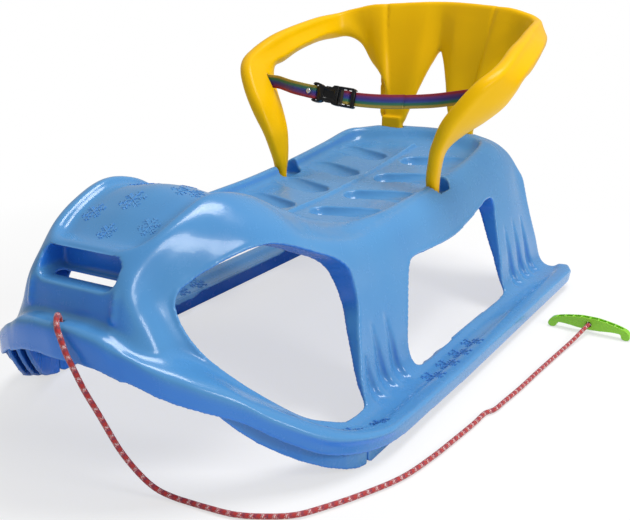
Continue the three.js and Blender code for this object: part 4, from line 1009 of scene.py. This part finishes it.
# Of the ornament's colours, the second is for clouds and painted shade in hollows, and the third a painted
# highlight on edges.
flake_plastic = moulded_plastic("blue ornament", "3470bb", "23559f", "5f9fe0", 0.24, shine=0.35)
snowflakes("snowflakes_left", flake_places, flake_plastic)
snowflakes("snowflakes_right", [(-x, y, z, size) for x, y, z, size in flake_places], flake_plastic)
snowflakes("snowflakes_hood", [(x, y, hood_level, size) for x, y, size in hood_flakes], blue_plastic)


# Backrest
# A yellow polypropylene moulding: a back panel with two folded legs, and two arms that end in front legs.
# The legs push down into the body's four sockets, and a slot inside each arm takes the belt's end.
tenon_width, tenon_depth = 0.032, 0.012
tenon_foot, tenon_top = 0.166, 0.219
belt_slot = (0.151, 0.168 - middle_shift, 0.2816)  # the slot's inner end in the left arm
slot_length, slot_half_width, slot_half_height = 0.04, 0.0032, 0.0097
# Each station, from a front foot to the middle of the back: ridge, lower edge, and half the thickness
# at the ridge, in the middle and at the lower edge.
back_stations = [
    ((10.75, 12.8, 14), (10.75, 14.1, 14), (0.76, 0.8, 0.76)),
    ((10.75, 12.8, 17), (10.75, 14.1, 17), (0.76, 0.8, 0.76)),
    ((10.9, 12.3, 18.8), (10.6, 14.5, 18.8), (0.8, 0.85, 0.8)),
    ((11.3, 11.9, 20.4), (10.6, 14.7, 20.3), (0.78, 0.85, 0.8)),
    ((11.8, 11.4, 22.5), (11, 15.1, 22.3), (0.8, 0.95, 0.85)),
    ((12.9, 11.1, 25.3), (12.7, 16.4, 24.2), (1, 1.2, 1.1)),
    ((14.4, 11.7, 27.7), (14.7, 18, 25.8), (1, 1.35, 1.3)),
    ((16, 13.1, 30), (16.3, 19.2, 27.4), (1, 1.5, 1.5)),
    ((17, 14.9, 31.2), (16.9, 20, 28.8), (1, 1.5, 1.7)),
    ((17.2, 17.5, 32.3), (17.2, 20.8, 29.6), (1, 1.5, 1.8)),
    ((16.9, 21.4, 33.7), (17.3, 22.5, 30), (1, 1.6, 1.9)),
    ((16.6, 25, 34.5), (17.2, 25.3, 31), (0.9, 1.55, 1.85)),
    ((16.1, 28.1, 35.1), (16.9, 28.2, 31.8), (0.8, 1.45, 1.75)),
    ((15.6, 31.8, 35.7), (16.3, 31.6, 32.3), (0.75, 1.25, 1.45)),
    ((14.8, 35.5, 36.1), (15.3, 34.9, 32.5), (0.7, 1, 1.1)),
    ((13.8, 36.8, 36.5), (13.6, 36.3, 32.7), (0.7, 0.85, 0.85)),
    ((12.6, 37.4, 36.8), (11.9, 37, 31.8), (0.7, 0.7, 0.7)),
    ((11.4, 37.7, 37.1), (10, 37, 29.3), (0.7, 0.7, 0.65)),
    ((10.2, 38, 37.3), (8.3, 36.2, 27.9), (0.7, 0.7, 0.65)),
    ((9.3, 38.25, 37.35), (7.1, 35.6, 26.2), (0.7, 0.7, 0.6)),
    ((8.6, 38.45, 37.4), (6.7, 35.2, 23), (0.7, 0.7, 0.6)),
    ((8, 38.6, 37.45), (6.85, 35, 20.9), (0.7, 0.7, 0.6)),
    ((5.4, 39.2, 37.6), (5.4, 35.1, 20.7), (0.7, 0.7, 0.6)),
    ((3.2, 39.6, 37.72), (3.9, 35, 20.9), (0.7, 0.7, 0.6)),
    ((2.4, 39.75, 37.75), (3.2, 35.5, 22.5), (0.7, 0.7, 0.6)),
    ((1.7, 39.85, 37.77), (2.2, 37, 26), (0.7, 0.7, 0.65)),
    ((0.9, 39.95, 37.79), (1, 38.4, 29.3), (0.7, 0.7, 0.65)),
    ((0, 40, 37.8), (0, 39, 31), (0.7, 0.7, 0.65)),
]


def back_rings():
    """Cross-sections of the moulding, from the left foot round to the right one, in metres."""
    half = np.array(back_stations, float)
    other = half[-2::-1] * np.array([(-1, 1, 1), (-1, 1, 1), (1, 1, 1)])
    lines = np.concatenate([half, other])
    smooth = spline(lines, even_steps(lines))
    ridge, low, thick = smooth[:, 0], smooth[:, 1], smooth[:, 2]
    axis = ridge - low
    length = np.linalg.norm(axis, axis=1, keepdims=True)
    axis /= length
    outward = np.cross(np.gradient((ridge + low) / 2, axis=0), axis)
    outward /= np.linalg.norm(outward, axis=1, keepdims=True)
    top, mid, bottom = thick[:, :1], thick[:, 1:2], thick[:, 2:]
    # The ridge and the lower edge are each rounded over about their own thickness.
    top_reach = np.minimum(1.1 * top, 0.4 * length)
    low_reach = np.minimum(1.1 * bottom, 0.4 * length)
    sides = [(length, 0 * top), (length - 0.27 * top_reach, 0.75 * top), (length - top_reach, top),
             (length / 2, mid), (low_reach, bottom), (0.27 * low_reach, 0.75 * bottom), (0 * top, 0 * top)]
    sides += [(d, -w) for d, w in sides[-2:0:-1]]
    corners = np.array([low + axis * d + outward * w for d, w in sides])
    return placed(spline(corners, 3, closed=True).transpose(1, 0, 2))


def backrest_piece():
    """The moulding with its rear tenons, and the belt's two slots."""
    rings = back_rings()
    panel = ring_solid("seat_back_moulding", list(rings), closed=False)
    cutters, tenons = [], []
    corners = np.array([(-1, -1), (1, -1), (1, 1), (-1, 1)]) * (slot_length / 2, slot_half_width)
    tenon = rounded_box(tenon_width, tenon_depth, tenon_depth / 3)
    for side in (1, -1):
        slot = corners + (side * (belt_slot[0] - slot_length / 2), belt_slot[1])
        cutters.append(prism("belt_slot", slot, belt_slot[2] - slot_half_height,
                             belt_slot[2] + slot_half_height))
        tenon_place = (side * rear_socket[0], rear_socket[1] - middle_shift)
        tenons.append(prism("tenon", tenon + tenon_place, tenon_foot, tenon_top))
    cut(panel, *cutters)
    return moulded(merged(panel, *tenons), cell=0.0016, rounds=7)


# The shade colour is painted shade where the backrest faces in or down, the second colour is for clouds and
# painted shade in hollows, and the third a painted highlight on edges.
yellow_plastic = moulded_plastic("yellow plastic", "eab600", "d08c00", "f7cc10", 0.3, shine=0.14,
                                 shade="f2be00")
backrest = finish_with(backrest_piece(), yellow_plastic, "seat_back")
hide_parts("backrest")


# Lap belt
# Polyester webbing 17 mm wide, woven in five colours. The right half folds round the socket's bar and is
# riveted. The left half is threaded round the plug's middle bar, and its loose tail lies in front.
web_width, web_thick = 17.0, 1.6  # the belt and its buckle are worked out in mm
web_cell, web_cell_across = 0.7, 0.9
web_corner = web_thick * 0.42
web_stops = [(0.0, "c4a93a"), (0.16, "b09a34"), (0.24, "2f7d46"), (0.36, "1f6f66"), (0.46, "2c4a9c"),
             (0.56, "33308f"), (0.64, "512a8a"), (0.76, "742a7c"), (0.86, "a41a30"), (1.0, "ad1a2c")]
web_waves, web_zigzags, web_threads = 13.0, 6.0, 26  # for each width of the band
web_wander, wander_scale, web_relief = 0.06, 1400.0, 0.0004
buckle_start, buckle_end, mouth = -68.0, -8.0, -31.0
belt_lean = math.radians(18)
lean_start, lean_end = 70.0, 125.0
arm_end = 150.4
rivet_x = buckle_start - 7
belt_points = [
    (-15.2, 16.8, 28.2), (-13.2, 16.8, 28.15), (-12, 16.5, 28), (-10, 15.7, 27.8), (-7, 15.2, 27.5),
    (-0.8, 15.2, 27), (3, 15.3, 27), (6.1, 15.5, 27.2), (9.5, 15.8, 27.5), (12, 16.5, 27.9),
    (13.2, 16.8, 28.1), (15.2, 16.8, 28.2),
]
belt_line = spline(np.array(belt_points) * 10, 15)


def belt_height(x):
    """The belt line's own place along Y and Z at a place across the sled, and its lean."""
    y = np.interp(x, belt_line[:, 0], belt_line[:, 1])
    z = np.interp(x, belt_line[:, 0], belt_line[:, 2])
    lean = belt_lean * (1 - eased(np.abs(x), lean_start, lean_end))
    return y, z, lean


def hung(points):
    """Points laid out straight along X, in mm, hung on the belt's line, in metres, the buckle's unbent."""
    x, through, up = np.asarray(points, float).T
    y, z, lean = belt_height(x)
    (y0, y1), (z0, z1), _ = belt_height(np.array([buckle_start, buckle_end]))
    share = (x - buckle_start) / (buckle_end - buckle_start)
    rigid = (share >= 0) & (share <= 1)
    y = np.where(rigid, y0 + share * (y1 - y0), y)
    z = np.where(rigid, z0 + share * (z1 - z0), z)
    lean = np.where(rigid, belt_lean, lean)
    c, s = np.cos(lean), np.sin(lean)
    place = np.column_stack([x, y + through * c + up * s, z - through * s + up * c])
    return place / 1000 - (0, middle_shift, 0)


def hang(piece):
    """Hangs a whole piece that is laid out in mm."""
    return reshaped(piece, hung)


def webbing(name, route, flip):
    """A band of webbing with full edges, along a route in plan. Its UV runs across the band and along it."""
    path, reach = resampled(spline(np.column_stack([route, np.zeros(len(route))]), 16), web_cell)
    along = np.gradient(path, axis=0)
    along /= np.linalg.norm(along, axis=1, keepdims=True)
    side = np.stack([-along[:, 1], along[:, 0]], axis=1)
    edge = rounded_box(web_thick, web_width, web_corner, sides=4)
    section = []
    for first, second in zip(edge, np.roll(edge, -1, axis=0)):
        count = max(1, int(np.linalg.norm(second - first) / web_cell_across))
        section += [first + (second - first) * k / count for k in range(count)]
    section = np.array(section)
    rings = []
    for point, normal in zip(path, side):
        ring = np.zeros((len(section), 3))
        ring[:, :2] = point[:2] + section[:, :1] * normal
        ring[:, 2] = section[:, 1]
        rings.append(hung(ring))
    count = len(section)
    faces = grid_faces(len(rings), count, round_cols=True)
    faces += [list(range(count)), [(len(rings) - 1) * count + k for k in range(count)][::-1]]
    band = new_piece(name, np.concatenate(rings), [f[::-1] for f in faces])
    loops = np.zeros(len(band.data.loops), int)
    band.data.loops.foreach_get("vertex_index", loops)
    across = section[loops % count, 1] / web_width + 0.5
    uv = np.stack([1 - across if flip else across, reach[loops // count] / web_width], axis=1)
    band.data.uv_layers.new(name="UVMap").data.foreach_set("uv", uv.astype(np.float32).ravel())
    return band


def webbing_material():
    """Rainbow stripes across the band, woven in a fine zigzag twill with a soft sheen, and painted shade in
    the weave's low places.
    """
    material, tree, shader = new_material("rainbow webbing")
    uv = separated(tree, shader_node(tree, "ShaderNodeUVMap", uv_map="UVMap").outputs[0])
    wander = maths(tree, "MULTIPLY_ADD", noise(tree, wander_scale, 2.0), web_wander, -web_wander / 2)
    stripes = ramped(tree, maths(tree, "ADD", uv[0], wander), web_stops, "LINEAR")
    zigzag = maths(tree, "PINGPONG", maths(tree, "MULTIPLY", uv[0], web_zigzags), 1.0)
    wave = maths(tree, "ADD", maths(tree, "MULTIPLY", uv[1], web_waves), zigzag)
    yarn = maths(tree, "SINE", maths(tree, "MULTIPLY", wave, 2 * math.pi))
    fine = maths(tree, "SINE", maths(tree, "MULTIPLY", uv[0], 2 * math.pi * web_threads))
    height = maths(tree, "MULTIPLY_ADD", yarn, 0.6, maths(tree, "MULTIPLY", fine, 0.4))
    # Painted shade: where the weave's relief is low, the colour darkens toward a deep violet.
    weave_shade = ranged(tree, height, -1.0, 0.4, 0.45, 0.0)
    fed(tree, shader, {"Base Color": mixed(tree, weave_shade, stripes, colour("1c1733")),
                       "Normal": bumped(tree, height, 0.5, web_relief), "Roughness": 0.66,
                       "Sheen Weight": 0.1})
    return material


layer_gap = web_thick / 2 + 0.3  # half the distance between two layers of webbing
bar_width, bar_thick = 3.0, 3.2
turn_x = buckle_start + bar_width + layer_gap + 0.6
turn_y = bar_thick / 2 + 0.45 + web_thick / 2
right_route = [
    (-arm_end, 0), (-130, 0), (-110, -layer_gap), (-95, -layer_gap), (rivet_x, -layer_gap),
    (rivet_x + 4, -layer_gap), (buckle_start - 1, -turn_y * 0.9), (buckle_start + 1, -turn_y),
    (turn_x - 1.6, -turn_y), (turn_x - 0.3, -turn_y * 0.75), (turn_x, 0), (turn_x - 0.3, turn_y * 0.75),
    (turn_x - 1.6, turn_y), (buckle_start + 1, turn_y), (buckle_start - 1, turn_y * 0.9),
    (rivet_x + 4, layer_gap), (rivet_x, layer_gap), (rivet_x - 6, layer_gap),
]
tail_y, main_y, front_y = 0.9, 3.2, 2.2
middle_bar, outer_bar = -20.0, -12.5
left_route = [
    (56, tail_y), (20, tail_y), (outer_bar - 1, tail_y), (outer_bar - 2.6, tail_y * 0.4),
    (middle_bar + 3.4, -1.6), (middle_bar + 1.6, -front_y), (middle_bar - 1.6, -front_y),
    (middle_bar - 3.6, -1.6), (middle_bar - 4.4, 0.4), (middle_bar - 3.6, 2.4), (middle_bar - 1, main_y),
    (middle_bar + 6, main_y), (20, main_y), (56, main_y), (80, main_y * 0.5), (110, 0), (130, 0),
    (arm_end, 0),
]
rainbow = webbing_material()
right_belt = finish_with(webbing("belt_right", right_route, flip=True), rainbow, "seat_back")
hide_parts("strap_right")
left_belt = webbing("belt_left", left_route, flip=False)
left_belt.data.materials.append(rainbow)
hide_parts("strap_left")
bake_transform(left_belt)


# Rivet
# A plated steel tubular rivet through the fold of the right half: a domed head with a dimple on each face.
rivet_shank = 3.2
rivet_dome = [(0.05, 0.62), (0.9, 0.66), (1.25, 1.15), (1.9, 1.25), (2.7, 1.0), (3.3, 0.5), (3.5, 0.0),
              (rivet_shank / 2, 0.0)]
rivet_reach = web_thick + 0.6  # from the belt's middle to the foot of each head


def lathed(name, profile, place, sides=40):
    """A turned solid about the belt's normal, from pairs of radius and depth in mm, hung on the belt."""
    angles = np.linspace(0, 2 * math.pi, sides, endpoint=False)
    rings = [np.column_stack([place + r * np.cos(angles), np.full(sides, d), r * np.sin(angles)])
             for r, d in profile]
    return hang(ring_solid(name, rings, closed=False))


def plated_steel():
    """Bright plated steel, faintly scratched and clouded."""
    material, tree, shader = new_material("plated steel")
    scratch = noise(tree, 1600.0, 4.0)
    tint = ranged(tree, scratch, 0.2, 0.8, 0.0, 0.5)
    fed(tree, shader, {"Metallic": 1.0, "Roughness": ranged(tree, scratch, 0.3, 0.7, 0.2, 0.38),
                       "Base Color": mixed(tree, tint, colour("d9dbde"), colour("b3b6bb"))})
    return material


rivet_profile = [(r, -rivet_reach - d) for r, d in rivet_dome]
rivet_profile += [(r, rivet_reach + d) for r, d in rivet_dome[::-1]]
rivet = lathed("belt_rivet", rivet_profile, rivet_x)
finish_with(rivet, plated_steel(), "seat_back")
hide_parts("rivet")


# Buckle
# A side-release buckle in black acetal: a socket, and a plug with a middle tongue and two springy prongs.
# The belt's ends go round the socket's bar and round the plug's middle bar.
buckle_width, buckle_thick, plug_thick, inner_thick = 24.5, 10.0, 8.0, 6.4
socket_length, prong_length, tongue_length = 37.0, 21.0, 20.0
web_hole = web_width + 2.4
overrun = 1.0  # how far a cutter runs past the face it opens
socket_shares = [
    (0, 0.8), (0.027, 0.94), (0.081, 1), (0.189, 1), (0.297, 0.92), (0.392, 0.76), (0.459, 0.72),
    (0.703, 0.72), (0.77, 0.84), (0.811, 0.98), (0.973, 1), (1, 0.97),
]
plug_shares = [(0, 1), (0.868, 1), (0.956, 0.94), (1, 0.82)]
prong_shares = [
    (0, 0.5), (0, 0.72), (0.286, 0.7), (0.5, 0.68), (0.524, 0.8), (0.619, 0.82), (0.905, 0.76), (1, 0.66),
    (1, 0.5), (0.857, 0.46),
]
# Of the acetal's colours, the second is for clouds and painted shade in hollows, and the third a painted
# highlight on edges.
black_plastic = moulded_plastic("black acetal", "0b0b0d", "060607", "1e1f22", 0.3, grain_size=1500.0,
                                shine=0.3)


def both_edges(shares, start, length):
    """A buckle outline that is the same above and below: along the belt, and up, in mm."""
    upper = np.array([(start + along * length, up * buckle_width / 2) for along, up in shares])
    return np.concatenate([upper, upper[::-1] * (1, -1)])


def block(start, end, low, high, height, rise=0.0):
    """A plain block in mm: along the belt, through it, and up."""
    outline = np.array([(start, rise - height / 2), (end, rise - height / 2),
                        (end, rise + height / 2), (start, rise + height / 2)])
    return prism("block", outline, low, high, "xz")


def softened(piece, width):
    """Rounds a piece's sharp edges."""
    applied(piece, "BEVEL", width=width, segments=3, limit_method="ANGLE", angle_limit=math.radians(35))
    piece.data.shade_smooth()
    return piece


def raised_ribs(count, start, pitch, length, low, high, height, rise=0.0):
    """A row of small ribs, one after the other along the belt."""
    return [softened(block(at, at + length, low, high, height, rise), width=0.2)
            for at in (start + pitch * k for k in range(count))]


def socket_half():
    """The socket: a flat sleeve that narrows at its waist, with an open bar at its rear."""
    half, bar = buckle_thick / 2, bar_width
    outline = both_edges(socket_shares, buckle_start, socket_length)
    back_wall, inner_height, window_length = 14.0, 20.6, 5.6
    panel_start, panel_end, panel_depth, panel_height = 17.0, 5.0, 0.5, 9.0
    piece = softened(prism("buckle_socket_shell", outline, -half, half, "xz"), width=1.6)
    hollow = block(buckle_start + back_wall, mouth + 10, -inner_thick / 2, inner_thick / 2, inner_height)
    window = block(buckle_start + bar, buckle_start + bar + window_length, -half - overrun, half + overrun,
                   web_hole)
    steps = [block(buckle_start - bar, buckle_start + bar, low, high, web_hole)
             for low, high in ((bar_thick / 2, half + overrun), (-half - overrun, -bar_thick / 2))]
    panel = block(buckle_start + panel_start, mouth - panel_end, -half - overrun, -half + panel_depth,
                  panel_height)
    cut(piece, hollow, window, *steps, panel)
    ribs = raised_ribs(count=2, start=mouth - 3.6, pitch=1.5, length=0.7, low=-half - 0.25, high=-half + 0.3,
                       height=17)
    return hang(merged(piece, *ribs))


def plug_half():
    """The plug: a frame with a middle bar and a low outer bar, and the tongue that guides it."""
    start, half = mouth + 0.3, plug_thick / 2
    outline = both_edges(plug_shares, start, buckle_end - start)
    piece = softened(prism("buckle_plug_frame", outline, -half, half, "xz"), width=1.3)
    head_wall, low = 3.0, tail_y - layer_gap - 0.15
    bar_half_width, bar_half_thick, tongue_half_thick = 1.1, 0.9, 2.5
    cut(piece, block(start + head_wall, outer_bar, -half - overrun, half + overrun, web_hole),
        block(outer_bar, buckle_end + 5, low, half + overrun, web_hole))
    bar = softened(block(middle_bar - bar_half_width, middle_bar + bar_half_width, -bar_half_thick,
                         bar_half_thick, buckle_width * 0.9), width=0.4)
    tongue = softened(block(start - tongue_length, start + 0.3, -tongue_half_thick, tongue_half_thick,
                            buckle_width * 0.26), width=0.7)
    ridges = raised_ribs(count=2, start=buckle_end - 3.6, pitch=1.4, length=0.6, low=-half - 0.2,
                         high=-half + 0.6, height=15)
    return hang(merged(piece, bar, tongue, *ridges))


def prong_arm(side):
    """One prong: a springy arm whose head shows in the socket's waist, with grip ridges on its edge."""
    outline = np.array([(mouth - 0.3 - along * prong_length, side * up * buckle_width / 2)
                        for along, up in prong_shares])
    half = inner_thick / 2 - 0.7
    arm = softened(prism("prong", outline, -half, half, "xz"), width=0.5)
    grips = raised_ribs(count=5, start=mouth - 18.6, pitch=1.3, length=0.6, low=-half + 0.3, high=half - 0.3,
                        height=1.2, rise=side * buckle_width * 0.39)
    return hang(merged(arm, *grips))


for piece, body_name, node in (
        (socket_half(), "seat_back", "buckle_socket"), (plug_half(), "plug", "buckle_plug"),
        (prong_arm(1), "prong_upper", "buckle_prong_upper"),
        (prong_arm(-1), "prong_lower", "buckle_prong_lower")):
    piece.name = "detailed_" + node
    finish_with(piece, black_plastic, body_name)
    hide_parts(node)


# Stage
# A white floor that keeps a soft shadow, and a white world, with a soft lamp over the sled and one beside it.
# Nothing here is part of the sled.
def floor_material():
    """White that keeps a soft shadow near the sled and fades to plain white away from it."""
    material, tree, shader = new_material("pale floor")
    fed(tree, shader, {"Base Color": (0.9, 0.9, 0.9, 1), "Roughness": 0.9})
    place = shader_node(tree, "ShaderNodeTexCoord").outputs["Object"]
    reach = shader_node(tree, "ShaderNodeVectorMath", {0: place}, operation="LENGTH").outputs["Value"]
    seen = shader_node(tree, "ShaderNodeLightPath").outputs["Is Camera Ray"]
    share = maths(tree, "MULTIPLY", ranged(tree, reach, 0.45, 0.85, 0.62, 1.0), seen)
    plain = shader_node(tree, "ShaderNodeEmission", {"Color": (1, 1, 1, 1), "Strength": 1.0})
    mix = shader_node(tree, "ShaderNodeMixShader", {0: share, 1: shader.outputs[0], 2: plain.outputs[0]})
    fed(tree, tree.nodes["Material Output"], {"Surface": mix.outputs[0]})
    return material


floor_reach, floor_level = 6, -0.0005
floor_corners = [(floor_reach * x, floor_reach * y, floor_level)
                 for x, y in ((-1, -1), (1, -1), (1, 1), (-1, 1))]
floor = new_piece("floor", floor_corners, [(0, 1, 2, 3)])
floor.data.materials.append(floor_material())

world = bpy.data.worlds.new("soft room")
bpy.context.scene.world = world
world.use_nodes = True
sky = world.node_tree
path = shader_node(sky, "ShaderNodeLightPath")
seen = maths(sky, "MAXIMUM", path.outputs["Is Camera Ray"], path.outputs["Is Transmission Ray"])
fed(sky, sky.nodes["Background"], {
    "Color": (1, 1, 1, 1), "Strength": maths(sky, "MULTIPLY_ADD", seen, 0.55, 0.45)})


lamp_target = (0, 0, 0.15)


def soft_lamp(name, place, size, watts):
    """A square area lamp that faces the sled's middle."""
    lamp = bpy.data.objects.new(name, bpy.data.lights.new(name, "AREA"))
    lamp.data.size = size
    lamp.data.energy = watts
    lamp.location = place
    lamp.rotation_euler = (Vector(lamp_target) - Vector(place)).to_track_quat("-Z", "Y").to_euler()
    bpy.context.scene.collection.objects.link(lamp)


soft_lamp("top_lamp", (0.6, 0.5, 2.2), size=0.9, watts=34)
soft_lamp("side_lamp", (2.0, -0.3, 1.1), size=0.6, watts=14)
